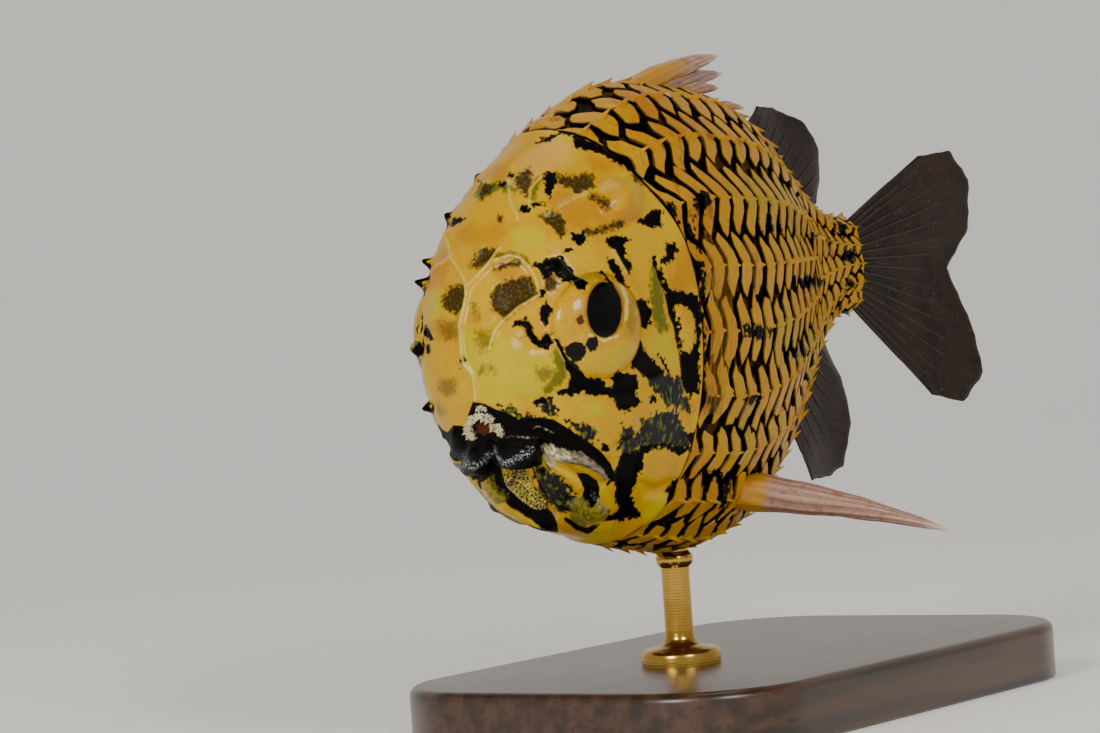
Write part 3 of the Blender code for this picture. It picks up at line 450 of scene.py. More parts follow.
MOTTLED_AND_SHADOW = {
    "jaw_joint": area(535, 403, 552, 397, 556, 406, 557, 415, 547, 418, 541, 410),
    "below_cheek": area(566, 419, 578, 424, 588, 421, 594, 431, 596, 446, 584, 438, 573, 431),
    "behind_cheek": area(
        619, 424, 627, 427, 633, 435, 639, 431, 642, 421, 653, 413, 667, 409, 678, 413, 684, 428, 693, 438,
        687, 450, 664, 446, 645, 447, 635, 451, 627, 464, 619, 458
    ),
    "behind_eye": area(
        645, 376, 662, 370, 673, 378, 682, 373, 684, 393, 692, 398, 688, 412, 678, 407, 668, 406, 659, 399,
        651, 387
    ),
    # A painted shadow in the crease above the lip, laid on as green-black mottling.
    "chin_shadow": area(500, 404, 512, 406, 524, 414, 540, 412, 536, 418, 520, 420, 508, 412),
    "olive_jaw": area(
        534, 472, 546, 468, 558, 475, 568, 485, 576, 496, 578, 505, 570, 512, 557, 511, 546, 501, 537, 487
    ),
}
OLIVE = {
    "cheek_band": area(650, 262, 658, 272, 663, 300, 668, 330, 660, 332, 651, 318, 650, 290),
    "jaw_patch": area(
        565, 499, 579, 496, 587, 507, 595, 505, 609, 511, 608, 518, 595, 524, 585, 528, 573, 523
    ),
    "crown_edge": line(4.0, 478, 196, 500, 186, 512, 190),
    "brow_edge": line(2.4, 532, 198, 536, 186, 543, 178),
    "arc_edge": line(3.0, 497, 258, 512, 254, 530, 266),
    "snout_edge": line(5.0, 556, 352, 562, 372, 548, 388),
    "front_edge": line(4.0, 422, 270, 420, 300),
}
print(sum(map(len, (SPECKLED, FAINT, MOTTLED_AND_SHADOW, OLIVE))), "blotches")


# %% [markdown]
# The yellow isn't one colour either. It turns to orange on the brow and to lemon on the snout, the small
# bones of the jaw are the brightest, and the jaw's swelling is a fuzzy yellow-green.

# %% Yellows of the head
ORANGE = {
    "crown": area(474, 172, 490, 165, 510, 163, 512, 176, 495, 180, 478, 178),
    "brow": area(552, 188, 575, 198, 600, 190, 612, 205, 606, 226, 582, 230, 562, 215, 548, 204),
    "nape": area(590, 160, 610, 160, 628, 172, 600, 172),
    "shoulder": area(600, 214, 640, 212, 642, 222, 612, 230),
    "forehead": area(454, 232, 490, 222, 520, 226, 500, 246, 466, 250),
    "side": area(430, 262, 446, 252, 448, 272, 438, 290, 428, 286),
    "arc": area(486, 268, 512, 262, 526, 272, 500, 282),
    "front": area(434, 320, 458, 318, 458, 340, 436, 340),
    "gill": area(672, 262, 694, 240, 698, 292, 672, 290),
    "foot": area(560, 526, 572, 528, 573, 541, 560, 536),
    "ramus": line(4.4, 506, 506, 520, 518, 536, 526),
    "maxilla": line(2.4, 560, 463, 575, 470, 590, 475),
    "gill_low": area(680, 398, 697, 400, 690, 433, 682, 420),
}
BRIGHT = {
    "maxilla_foot": area(572, 463, 583, 466, 596, 472, 600, 479, 588, 474, 575, 470),
    "streak": area(551, 462, 558, 463, 568, 468, 577, 476, 582, 486, 580, 493, 574, 487, 566, 478, 555, 470),
    "leaf": area(600, 485, 605, 485, 610, 493, 615, 504, 612, 509, 604, 503, 599, 494),
    "ramus": area(499, 502, 503, 502, 513, 511, 526, 519, 540, 525, 540, 528, 524, 523, 510, 516, 501, 508),
    "beak": area(
        572, 537, 584, 538, 594, 532, 604, 524, 614, 521, 611, 532, 606, 545, 602, 553, 592, 546, 583, 542
    ),
}
LIME = {
    "jaw_patch": area(
        569, 500, 578, 495, 587, 500, 590, 508, 600, 503, 609, 511, 608, 520, 596, 527, 582, 526, 572, 516
    ),
    "ramus_top": line(3.6, 487, 484, 494, 494, 502, 502),
}
LEMON = {
    "snout": area(462, 330, 500, 326, 520, 345, 560, 352, 566, 385, 540, 400, 500, 402, 476, 398, 464, 370),
    "front": area(424, 292, 440, 286, 440, 318, 424, 316),
    "forehead": area(515, 232, 535, 226, 548, 240, 530, 256, 508, 248),
    "cheek": area(572, 400, 604, 398, 606, 414, 580, 418),
    "iris_side": area(640, 336, 668, 336, 674, 366, 650, 352),
    "throat": area(640, 500, 664, 492, 668, 520, 642, 520),
}
print(sum(map(len, (ORANGE, BRIGHT, LIME, LEMON))), "patches of yellow")


# %% [markdown]
# The smallest marks are the palest: the crests of the bones, painted pale as a highlight along each crest,
# the long bone above the jaw and the streak below it, painted highlights as silver specks on the lips and the
# jaw, tufts round the lip's brown middle, and the grains of the light organ.

# %% Pale marks of the head
# The pale paint along these crests and on the swelling by the nostril is a painted highlight.
PALE = {
    "crest_front": line(1.2, 444, 231, 451, 248, 453, 258, 469, 287),
    "crest_far": line(1.1, 453, 258, 430, 272),
    "brow_ridge": line(
        1.3, 501, 248, 487, 267, 468, 287, 465, 306, 461, 324, 462, 348, 464, 363, 474, 376, 477, 398
    ),
    "orbit_arc": line(1.2, 495, 262, 509, 256, 520, 258, 530, 268, 537, 283, 539, 297),
    "orbit_low": line(1.3, 538, 296, 518, 308, 505, 320, 496, 330, 491, 350),
    "crown_ridge": line(1.1, 509, 182, 511, 204, 518, 217),
    "brow_fork": line(1.1, 529, 207, 531, 191, 542, 178),
    "brow_cross": line(0.9, 559, 208, 587, 194),
    "orbit_front": line(0.9, 548, 331, 555, 345, 563, 361),
    "orbit_rear": line(0.9, 637, 341, 631, 355, 624, 368),
    "nostril_swelling": spot(521, 334, 4.6),
    "brow_pink": line(1.8, 613, 251, 619, 262, 625, 273),
}
CREAM = {
    "maxilla": area(
        543, 448, 549, 445, 567, 450, 581, 451, 593, 460, 602, 468, 607, 477, 605, 481, 596, 472, 580, 465,
        562, 462, 546, 457
    ),
    "lip_line": line(0.5, 504, 436, 518, 435, 538, 437),
    "jaw_line": line(0.5, 532, 428, 538, 425, 553, 432),
}
PEARL = {
    "maxilla_front": area(543, 448, 550, 445, 560, 449, 569, 452, 568, 457, 556, 458, 545, 456),
    "streak_front": area(543, 459, 550, 459, 556, 463, 552, 469, 547, 466),
}
# Painted highlights on the black lips and on the jaw, laid on as silver specks.
PAINTED_HIGHLIGHTS = {
    "lip_front": line(3.0, 466, 455, 471, 459, 478, 460, 485, 458, 489, 455),
    "lip_side": line(2.8, 497, 449, 503, 455, 510, 456, 517, 452, 523, 449, 530, 446),
    "jaw_glint": line(1.6, 592, 494, 600, 502, 606, 508),
}
TUFTED = {
    "ring": line(3.2, 474, 436, 470, 431, 470, 424, 473, 418, 480, 415, 487, 416, 491, 419),
    "cluster": line(3.4, 493, 428, 498, 427, 500, 433),
    "upper": line(1.6, 478, 408, 482, 406, 486, 409),
}
BROWN = {
    "mouth_middle": area(476, 424, 484, 421, 490, 424, 491, 433, 484, 436, 478, 432),
}
GRANULAR = {
    "organ": area(
        500, 478, 510, 473, 524, 473, 533, 482, 540, 491, 547, 502, 549, 510, 536, 512, 526, 505, 516, 497,
        506, 488
    ),
}
SKIN_FIELDS = {
    "black": BLACK,
    "ink": INK,
    "speckled": SPECKLED,
    "faint": FAINT,
    "mottled_and_shadow": MOTTLED_AND_SHADOW,
    "olive": OLIVE,
    "orange": ORANGE,
    "lemon": LEMON,
    "bright": BRIGHT,
    "lime": LIME,
    "pale": PALE,
    "cream": CREAM,
    "pearl": PEARL,
    "painted_highlight": PAINTED_HIGHLIGHTS,
    "tufted": TUFTED,
    "brown": BROWN,
    "granular": GRANULAR,
}
print(sum(len(marks) for marks in SKIN_FIELDS.values()), "marks in", len(SKIN_FIELDS), "fields")


# %% [markdown]
# A signed distance is negative inside a shape. For an area it is the distance to the nearest side, with its
# sign from how many sides a ray crosses. For a line it is the distance to the line less its half width. Only
# points near a mark are measured, and the rest keep a far value.

# %% Fields from marks
FAR = 14.0


def side_distance(spots, a, b):
    """How far pixels lie from the straight side between two corners."""
    along = b - a
    reach = max(float(along @ along), 1e-9)
    share = np.clip((spots - a) @ along / reach, 0, 1)
    return np.linalg.norm(spots - a - share[:, None] * along, axis=1)


def mark_distance(spots, mark):
    """Signed distance of pixels to one area or line."""
    half_width, corners = mark
    corners = np.array(corners, float)
    ends = np.roll(corners, -1, axis=0)
    if half_width is not None:
        corners, ends = corners[:-1], ends[:-1]
    away = np.full(len(spots), np.inf)
    inside = np.zeros(len(spots), bool)
    for a, b in zip(corners, ends):
        away = np.minimum(away, side_distance(spots, a, b))
        crosses = (a[1] > spots[:, 1]) != (b[1] > spots[:, 1])
        edge = a[0] + (b[0] - a[0]) * (spots[:, 1] - a[1]) / ((b[1] - a[1]) or 1.0)
        inside ^= crosses & (spots[:, 0] < edge)
    if half_width is not None:
        return away - half_width
    return np.where(inside, -away, away)


def near_distance(spots, mark):
    """The same for the spots near the mark, and the far value elsewhere."""
    reach = FAR + (mark[0] or 0)
    corners = np.array(mark[1], float)
    low, high = corners.min(axis=0) - reach, corners.max(axis=0) + reach
    near = ((spots > low) & (spots < high)).all(axis=1)
    away = np.full(len(spots), FAR)
    away[near] = np.minimum(mark_distance(spots[near], mark), FAR)
    return away


def on_fish(points, normals, measure):
    """A measure of photograph pixels, carried to points of the fish. The left side takes it straight. The
    right side takes it straight where it faces the camera, and mirrored from the left where it doesn't."""
    straight = measure(photo(points))
    right_side = points[:, 1] < 0
    mirrored = measure(photo(points[right_side] * (1, -1, 1)))
    to_camera = CAMERA_PLACE - points[right_side]
    to_camera /= np.linalg.norm(to_camera, axis=1, keepdims=True)
    facing = smooth(0.02, 0.3, np.sum(normals[right_side] * to_camera, axis=1))
    straight[right_side] = mirrored + (straight[right_side] - mirrored) * facing
    return straight


def field_of(points, normals, marks):
    """Millimetres from the nearest of these marks for each point, negative inside one."""

    def nearest(spots):
        return np.min([near_distance(spots, mark) for mark in marks.values()], axis=0)

    return on_fish(points, normals, nearest) / PIXELS_PER_MM


middle_of_lip = np.array([[515.0, 455.0]])
lip_depth = -float(mark_distance(middle_of_lip, INK["lip_and_mouth"])[0])
print("the middle of the black lip lies", round(lip_depth, 1), "pixels inside its outline")


# %% [markdown]
# The head is one hard casket of bone under thin skin: a net of ridges over the forehead, a rim round each
# eye, thick lips and a jaw with a swelling on each branch. The skin is lofted ring by ring, and each form
# lifts or sinks it along the body's normal. Lines make ridges with a bell-shaped section, and areas make
# domes that rise from their outline.

# %% Forms of the head
EYE_AT = np.array((8.2, 7.4, -1.9))
EYE_LOOK = np.array((-0.28, 0.96, 0.03)) / np.linalg.norm((-0.28, 0.96, 0.03))
EYE_RADIUS = 4.5
EYE_FLATNESS = 0.52
ORBIT_RADIUS = 4.75
ORBIT_WIDTH = 0.7
ORBIT_HEIGHT = 0.1
SOCKET_DEPTH = 3.2

# Each form: the mark that it follows, how far it rises in millimetres, and how far it takes to rise.
RIDGES = {
    **{name: (PALE[name], 0.22, 0.24) for name in PALE if name != "nostril_swelling"},
    **{name: (CREAM[name], 0.22, 0.24) for name in ("lip_line", "jaw_line")},
    "above_lip": (line(0, 472, 400, 500, 404, 528, 410, 556, 414, 586, 432, 606, 452), 0.25, 0.6),
    "under_lip": (line(0, 478, 476, 500, 474, 530, 474, 545, 470), -0.5, 0.5),
    "jaw_cleft": (line(0, 494, 480, 504, 493, 518, 507, 532, 515, 549, 517), -0.8, 0.55),
    "jaw_branch": (line(0, 487, 481, 497, 500, 515, 520, 540, 530), 0.35, 0.7),
    "lip_parting": (line(0, 490, 445, 492, 460, 490, 474), -0.4, 0.3),
    "lip_end": (line(0, 542, 444, 544, 460, 541, 472), -0.35, 0.3),
    "under_maxilla": (line(0, 545, 460, 562, 466, 580, 474, 602, 483), -0.25, 0.25),
    "cheek_edge": (line(0, 560, 389, 600, 396, 640, 394, 668, 404), 0.2, 0.6),
    "gill_groove": (line(0, 655, 258, 664, 284, 671, 309, 677, 326, 682, 350, 690, 396), -0.16, 0.3),
    "jaw_foot": (line(0, 576, 520, 592, 528, 608, 519), -0.3, 0.35),
    "organ_edge": (INK["organ_line"], -0.25, 0.25),
}
LIP_FRONT = area(460, 466, 465, 457, 472, 448, 482, 443, 490, 448, 492, 460, 487, 473, 480, 478, 469, 477)
LIP_SIDE = area(493, 449, 499, 440, 513, 436, 532, 437, 544, 446, 542, 460, 532, 469, 518, 471, 501, 468)
SNOUT = area(462, 330, 500, 326, 530, 350, 560, 352, 566, 385, 540, 400, 500, 402, 476, 398)
CHEEK = area(568, 398, 605, 398, 640, 408, 636, 436, 620, 442, 606, 450, 594, 438, 590, 422)
DOMES = {
    "lip_front": (LIP_FRONT, 0.9, 0.8),
    "lip_side": (LIP_SIDE, 0.9, 0.9),
    "lip_tip": (area(450, 432, 455, 426, 466, 428, 466, 448, 459, 462, 452, 455), 0.5, 0.6),
    "maxilla": (CREAM["maxilla"], 0.5, 0.35),
    "streak_front": (PEARL["streak_front"], 0.3, 0.25),
    "streak": (BRIGHT["streak"], 0.25, 0.25),
    "organ": (GRANULAR["organ"], 0.35, 0.6),
    "olive_jaw": (MOTTLED_AND_SHADOW["olive_jaw"], 0.3, 0.6),
    "jaw_patch": (OLIVE["jaw_patch"], 0.35, 0.6),
    "rosette": ((5.0, TUFTED["ring"][1]), 0.3, 0.4),
    "nostril_swelling": (PALE["nostril_swelling"], 0.35, 0.35),
    "nostril": (BLACK["nostril_crescent"], -0.3, 0.25),
    "nostril_knob": (spot(539, 335, 3.0), 0.2, 0.3),
    "nape_swelling": (spot(620, 200, 23.0), 1.2, 2.2),
    "ahead_of_eye": (SPECKLED["ahead_of_eye"], -0.3, 0.6),
    "brow_left": (SPECKLED["brow_left"], -0.2, 0.5),
    "forehead": (SPECKLED["forehead"], -0.2, 0.5),
    "middle": (SPECKLED["middle"], -0.25, 0.5),
    "brow": (SPECKLED["brow"], -0.15, 0.5),
    "snout": (SNOUT, 0.3, 1.6),
    "cheek": (CHEEK, 0.25, 0.6),
    "throat_bone": (area(637, 480, 636, 458, 648, 447, 665, 446, 675, 460, 672, 478, 655, 487), 0.3, 0.5),
    "throat_low": (area(642, 495, 662, 490, 671, 512, 666, 527, 638, 522), 0.3, 0.5),
    "gill_plate": (area(674, 308, 682, 305, 693, 322, 692, 350, 684, 344, 677, 324), 0.2, 0.25),
    "behind_eye": (BLACK["behind_eye"], -0.12, 0.2),
}
BLACK_SINKS = 0.09
# Black thorns where ridges end: place, height and radius. The right side's stand out against the floor.
THORNS = (
    ((5.6, -6.4, 4.0), 0.9, 0.4),
    ((5.1, -6.7, 2.4), 1.1, 0.4),
    ((4.2, -6.8, -1.3), 0.7, 0.5),
    ((3.9, -6.6, -2.7), 0.8, 0.65),
    ((4.0, -6.1, -7.5), 0.9, 0.4),
    ((7.3, -5.4, 7.5), 0.5, 0.45),
    ((10.0, -4.4, 10.8), 0.3, 0.4),
    ((4.8, 6.2, 3.1), 0.3, 0.4),
    ((3.5, 6.0, 1.0), 0.25, 0.4),
)


def form_heights(spots):
    """How far the drawn forms lift the skin in front of each pixel, in millimetres."""
    height = np.zeros(len(spots))
    for mark, rise, reach in RIDGES.values():
        away = near_distance(spots, (0.0, mark[1])) / PIXELS_PER_MM
        height += rise * np.exp(-((away / reach) ** 2))
    for mark, rise, reach in DOMES.values():
        inside = -near_distance(spots, mark) / PIXELS_PER_MM
        height += rise * np.sqrt(smooth(-0.05, reach, inside))
    return height


def from_eye_axis(points):
    """How far each point lies from the line of sight of the eye on its own side."""
    away = np.stack([points[:, 0], np.abs(points[:, 1]), points[:, 2]], axis=1) - EYE_AT
    return np.linalg.norm(away - (away @ EYE_LOOK)[:, None] * EYE_LOOK, axis=1)


print(len(RIDGES), "ridges and grooves,", len(DOMES), "domes and hollows")


# %% [markdown]
# Every piece is a mesh made from points and faces. A few small functions serve them all: they link an object,
# lay quads between rings, close the ends, store numbers for the paint to read, and turn the faces outwards.

# %% Meshes from points
def mesh_object(name, points, faces, finish, smooth_faces=True):
    """A linked object of one mesh, from points of the fish in millimetres."""
    mesh = bpy.data.meshes.new(name)
    mesh.from_pydata(world(points).tolist(), [], [tuple(int(i) for i in face) for face in faces])
    mesh.materials.append(finish)
    if smooth_faces:
        mesh.shade_smooth()
    obj = bpy.data.objects.new(name, mesh)
    bpy.context.scene.collection.objects.link(obj)
    return obj


def ring_faces(rows, count, start=0):
    """Quads between rings of equally many points."""
    faces = []
    for row in range(rows - 1):
        first = start + row * count
        for k in range(count):
            nxt = (k + 1) % count
            faces.append((first + k, first + nxt, first + nxt + count, first + k + count))
    return faces


def closed_faces(rows, count):
    """The same with both ends closed, by fans to the two points that come after the rings."""
    last = (rows - 1) * count
    near_end, far_end = rows * count, rows * count + 1
    faces = ring_faces(rows, count)
    faces += [((k + 1) % count, k, near_end) for k in range(count)]
    faces += [(last + k, last + (k + 1) % count, far_end) for k in range(count)]
    return faces


def give(obj, name, values):
    """Stores a number for each point of the mesh, for its finish to read."""
    stored = obj.data.attributes.new(name, "FLOAT", "POINT")
    stored.data.foreach_set("value", np.asarray(values, np.float32))


def outwards(obj):
    """Turns the faces of a closed mesh, or of many, outwards."""
    solid = bmesh.new()
    solid.from_mesh(obj.data)
    bmesh.ops.recalc_face_normals(solid, faces=solid.faces)
    if solid.calc_volume(signed=True) < 0:
        bmesh.ops.reverse_faces(solid, faces=solid.faces)
    solid.to_mesh(obj.data)
    solid.free()
    return obj


print("a closed stack of 3 rings of 8 points has", len(closed_faces(3, 8)), "faces")


# %% [markdown]
# A mesh of rings needs no modelling by hand. The head's rings are close, a quarter of a millimetre at most,
# and end at the rear edge of the gill cover. The rest of the skin lies under the plates, so only every second
# point goes on, and the skin there lies a little deeper, which leaves room for the plates' thickness.

# %% The skin's mesh
HEAD_RINGS = 172
HEAD_POINTS = 440
FIRST_RING = 0.02
BODY_RINGS = 58
RING_GROWTH = 1.15
EVENING = 0.22
GILL_STEP = 0.22
UNDER_PLATES = -0.3
STEP_REACH = 0.7
THORN_PAINT = 1.1
LEAST_FROM_MIDDLE = 3.0


def skin_points():
    """The body's points under the head and under the rest of the skin, with their normals, how far along
    the head each of the first lies, and how far past the gill cover each of the others lies."""
    turns = np.linspace(0, 2 * math.pi, HEAD_POINTS, endpoint=False)
    angles = turns + EVENING * np.sin(2 * turns)
    shares = np.linspace(FIRST_RING, 1, HEAD_RINGS)
    behind = np.outer(shares**2, gill_edge(angles))
    around = np.broadcast_to(angles, behind.shape)
    head = body(behind, around).reshape(-1, 3)
    head_normals = body_normal(behind, around).reshape(-1, 3)
    coarse = angles[::2]
    ways = np.linspace(0, 1, BODY_RINGS + 1)[1:] ** RING_GROWTH
    start = gill_edge(coarse)
    behind_body = start + np.outer(ways, BODY_END - start)
    around_body = np.broadcast_to(coarse, behind_body.shape)
    rest = body(behind_body, around_body).reshape(-1, 3)
    rest_normals = body_normal(behind_body, around_body).reshape(-1, 3)
    past_edge = (behind_body - start).reshape(-1)
    return head, head_normals, shares.repeat(HEAD_POINTS), rest, rest_normals, past_edge


head, head_normals, head_shares, rest, rest_normals, past_edge = skin_points()
head_black = field_of(head, head_normals, BLACK)
lift = on_fish(head, head_normals, form_heights)
lift -= BLACK_SINKS * smooth(0.1, -0.15, head_black)
off_axis = from_eye_axis(head)
for thorn, rise, reach in THORNS:
    lift += rise * np.exp(-((np.linalg.norm(head - thorn, axis=1) / reach) ** 2))
lift += ORBIT_HEIGHT * np.exp(-(((off_axis - ORBIT_RADIUS) / ORBIT_WIDTH) ** 2))
on_thorn = [np.linalg.norm(head - thorn, axis=1) - THORN_PAINT * reach for thorn, _, reach in THORNS]
head_black = np.minimum(head_black, np.min(on_thorn, axis=0))
lift *= smooth(3.4, 4.6, off_axis)
lift += GILL_STEP * smooth(0.95, 1.0, head_shares)
eye_side = EYE_LOOK * np.stack([np.ones(len(head)), np.sign(head[:, 1]), np.ones(len(head))], axis=1)
in_socket = smooth(4.3, 3.5, off_axis) * (np.abs(head[:, 1]) > LEAST_FROM_MIDDLE)
head_skin = head + head_normals * lift[:, None] - eye_side * (SOCKET_DEPTH * in_socket)[:, None]
sink = UNDER_PLATES * smooth(0.0, STEP_REACH, past_edge) + GILL_STEP * smooth(0.3, 0.0, past_edge)
rest_skin = rest + rest_normals * sink[:, None]

half_points = HEAD_POINTS // 2
ends = [body(0.0, 0.0), rest_skin[-half_points:].mean(axis=0)]
skin_all = np.concatenate([head_skin, rest_skin, ends])
first_rest = len(head_skin)
faces = ring_faces(HEAD_RINGS, HEAD_POINTS)
last_head = first_rest - HEAD_POINTS
# Three triangles join each two steps of the last ring of the head to one step of the first ring behind it.
for k in range(half_points):
    a, middle, b = last_head + 2 * k, last_head + 2 * k + 1, last_head + (2 * k + 2) % HEAD_POINTS
    c, d = first_rest + k, first_rest + (k + 1) % half_points
    faces += [(a, middle, c), (middle, d, c), (middle, b, d)]
faces += ring_faces(BODY_RINGS, half_points, first_rest)
snout, tail_end = len(skin_all) - 2, len(skin_all) - 1
faces += [((k + 1) % HEAD_POINTS, k, snout) for k in range(HEAD_POINTS)]
last_ring = len(skin_all) - 2 - half_points
faces += [(last_ring + k, last_ring + (k + 1) % half_points, tail_end) for k in range(half_points)]
print("skin:", len(skin_all), "points,", len(faces), "faces")


# %% [markdown]
# On the real fish this is live skin over bone: wet, glossy and strongly coloured. On a museum model it is
# a cast of resin, sprayed yellow, painted by hand and varnished. The varnish makes the shine, so the paint
# itself can be fairly rough under a clear coat. Resin and varnish both refract like most plastics, about 1.5.

# %% Finish of the skin
VARNISH = {"Coat Weight": 0.3, "Coat Roughness": 0.17}
skin_finish, tree, shader, place = new_finish("varnished_paint_on_cast_resin", 0.42, VARNISH)
# Speckled blotches: pale worm-like grains a fifth of a millimetre across on dark brown.
speckles = laid(tree, "#1e160a", (clouds(tree, place, 0.2, 0.46, 0.64, detail=2.0), "#4a3c1a"))
# Green-black mottling: yellow-green grains, upright and under a millimetre long, that thin out into black.
# The same mottling paints the shadow in the crease above the lip.
moss_and_shadow = laid(tree, "#040303", (clouds(tree, place, 0.4, 0.52, 0.68, stretch=(1, 1, 0.5)), "#5a6608"))
# Cream bone, pearly bone, the fuzzy yellow-green of the jaw, the light organ, and pale tufts on brown.
cream = laid(tree, "#94886c", (clouds(tree, place, 0.7, 0.4, 0.6, stretch=(1, 1, 2)), "#5c4e46"))
pearl = laid(tree, "#ccc8b0", (clouds(tree, place, 0.3, 0.46, 0.56), "#84804e"))
lime = laid(tree, "#8c8412", (clouds(tree, place, 0.3, 0.4, 0.62, stretch=(1, 1, 0.6)), "#4e5226"))
organ = laid(tree, "#2a180a", (clouds(tree, place, 0.22, 0.45, 0.58, detail=2.0), "#9c8418"))
tufts = laid(tree, "#5a3c20", (clouds(tree, place, 0.18, 0.4, 0.52, detail=2.0), "#efe6c0"))
# Painted highlights: silver specks that lie only where their noise is high inside the highlight marks of the
# lips and the jaw.
highlight_specks = {0: clouds(tree, place, 0.13, 0.52, 0.6, detail=4.0)}
highlight_specks[1] = painted(tree, place, "painted_highlight", 0.15, 0.4, 0.2)
painted_highlight_specks = add(tree, "ShaderNodeMath", highlight_specks, operation="MULTIPLY").outputs[0]
both_blacks = {0: painted(tree, place, "black", 0.13, 0.4, 0.05)}
both_blacks[1] = painted(tree, place, "ink", 0.03, 0.3, 0.04)
black_mask = add(tree, "ShaderNodeMath", both_blacks, operation="MAXIMUM").outputs[0]
# The skin between the plates has its own value of the black field, and is black in places, brown in others.
BETWEEN_PLATES = -2.0
flank = {0: graded(tree, "black", BETWEEN_PLATES + 0.1, BETWEEN_PLATES + 0.3, 1.0, 0.0)}
flank[1] = clouds(tree, place, 3.0, 0.49, 0.55, most=0.9)
brown_ground = add(tree, "ShaderNodeMath", flank, operation="MULTIPLY").outputs[0]
speckled_mask = painted(tree, place, "speckled", 0.18, 0.35, 0.2, 0.95)
# Airbrushed yellow: warmer and cooler clouds four millimetres wide, with a fine grain in the paint. Then the
# soft marks, the blotches, the black pigment with its dark brown edge, and the small marks of the mouth.
paint = laid(
    tree,
    "#c69400",
    (clouds(tree, place, 4.0, 0.35, 0.65), "#caa200"),
    (clouds(tree, place, 0.35, 0.45, 0.75, most=0.3, detail=4.0), "#a87100"),
    (painted(tree, place, "orange", 0.35, 2.0, 0.5, 0.75), "#b47900"),
    (painted(tree, place, "lemon", 0.4, 2.5, 0.6), "#bea900"),
    (painted(tree, place, "olive", 0.2, 0.5, 0.22), "#666200"),
    (painted(tree, place, "faint", 0.25, 0.35, 0.35, 0.8), "#6a520e"),
    (speckled_mask, speckles),
    (painted(tree, place, "mottled_and_shadow", 0.3, 0.5, 0.12), moss_and_shadow),
    (painted(tree, place, "black", 0.16, 0.4, 0.12), "#2a1400"),
    (black_mask, "#020202"),
    (brown_ground, "#4e2c04"),
    (painted(tree, place, "brown", 0.1, 0.3, 0.1), "#4a2408"),
    (painted(tree, place, "lime", 0.12, 0.3, 0.16, 0.9), lime),
    (painted(tree, place, "bright", 0.03, 0.3, 0.05), "#c8a500"),
    (painted(tree, place, "cream", 0.05, 0.3, 0.05), cream),
    (painted(tree, place, "pearl", 0.12, 0.25, 0.2), pearl),
    # Painted highlights: silver specks on the lips and the jaw.
    (painted_highlight_specks, "#b4bcc4"),
    (painted(tree, place, "granular", 0.08, 0.3, 0.08), organ),
    (painted(tree, place, "tufted", 0.1, 0.2, 0.08), tufts),
    # Painted highlight along the crests of the bones.
    (painted(tree, place, "pale", 0.03, 0.3, 0.08, 0.6), "#dcc258"),
)
# Where pigment is dense the varnish has sunk in, so it shines less there.
dense = add(tree, "ShaderNodeMath", {0: black_mask, 1: speckled_mask}, operation="MAXIMUM").outputs[0]
for socket, bare, covered, wet in (
    ("Roughness", 0.42, 0.5, -0.1),
    ("Coat Weight", 0.3, 0.05, 0.1),
    ("Specular IOR Level", 0.12, 0.05, 0.0),
):
    shine = add(tree, "ShaderNodeMapRange", {"Value": dense, "To Min": bare, "To Max": covered})
    # The lips are glossy all the same: the black ones of the real fish are the smoothest skin it has.
    lips = {0: graded(tree, "painted_highlight", 0.1, 0.9, 1.0, 0.0), 1: wet, 2: shine.outputs["Result"]}
    glossy = add(tree, "ShaderNodeMath", lips, operation="MULTIPLY_ADD").outputs[0]
    tree.links.new(glossy, shader.inputs[socket])
pores = {0: grains(tree, place, 0.7, 5.0), 1: grains(tree, place, 0.16, 3.0)}
relief = add(tree, "ShaderNodeMath", pores, operation="ADD").outputs[0]
dress(tree, shader, paint, relief, 0.06, 0.7)

skin = mesh_object("skin", skin_all, faces, skin_finish)
# Just behind the gill cover is a narrow hem of yellow skin, a millimetre away from any black.
HEM_WIDTH = 0.25
HEM_FIELD = 1.0
for field, marks in SKIN_FIELDS.items():
    values = head_black if field == "black" else field_of(head, head_normals, marks)
    rest_values = np.full(len(rest) + 2, FAR / PIXELS_PER_MM)
    if field == "black":
        rest_values[:-2] = np.where(past_edge > HEM_WIDTH, BETWEEN_PLATES, HEM_FIELD)
    give(skin, field, np.concatenate([values, rest_values]))
outwards(skin)
print("skin box, mm:", [round(side / MM, 1) for side in skin.dimensions])


# %% [markdown]
# Behind the gill cover the fish wears a mail of bony plates. Each is a tall lozenge, bent like a chevron,
# with a keel and a short spine that points back, and dark skin shows in the thin gaps. A honeycomb lattice is
# laid round the body: rows from back to belly as wide as they are in the photograph, and columns about two
# millimetres apart. The lattice bends forward at the edges of each row, which gives the chevrons.

# %% Places round the girth
TRUNK_EDGES = (0.035, 0.135, 0.235, 0.366, 0.475, 0.59, 0.7, 0.79, 0.88, 0.96)
TAIL_EDGES = (0.08, 0.25, 0.42, 0.58, 0.75, 0.92)
TAIL_SEAM = 45.5


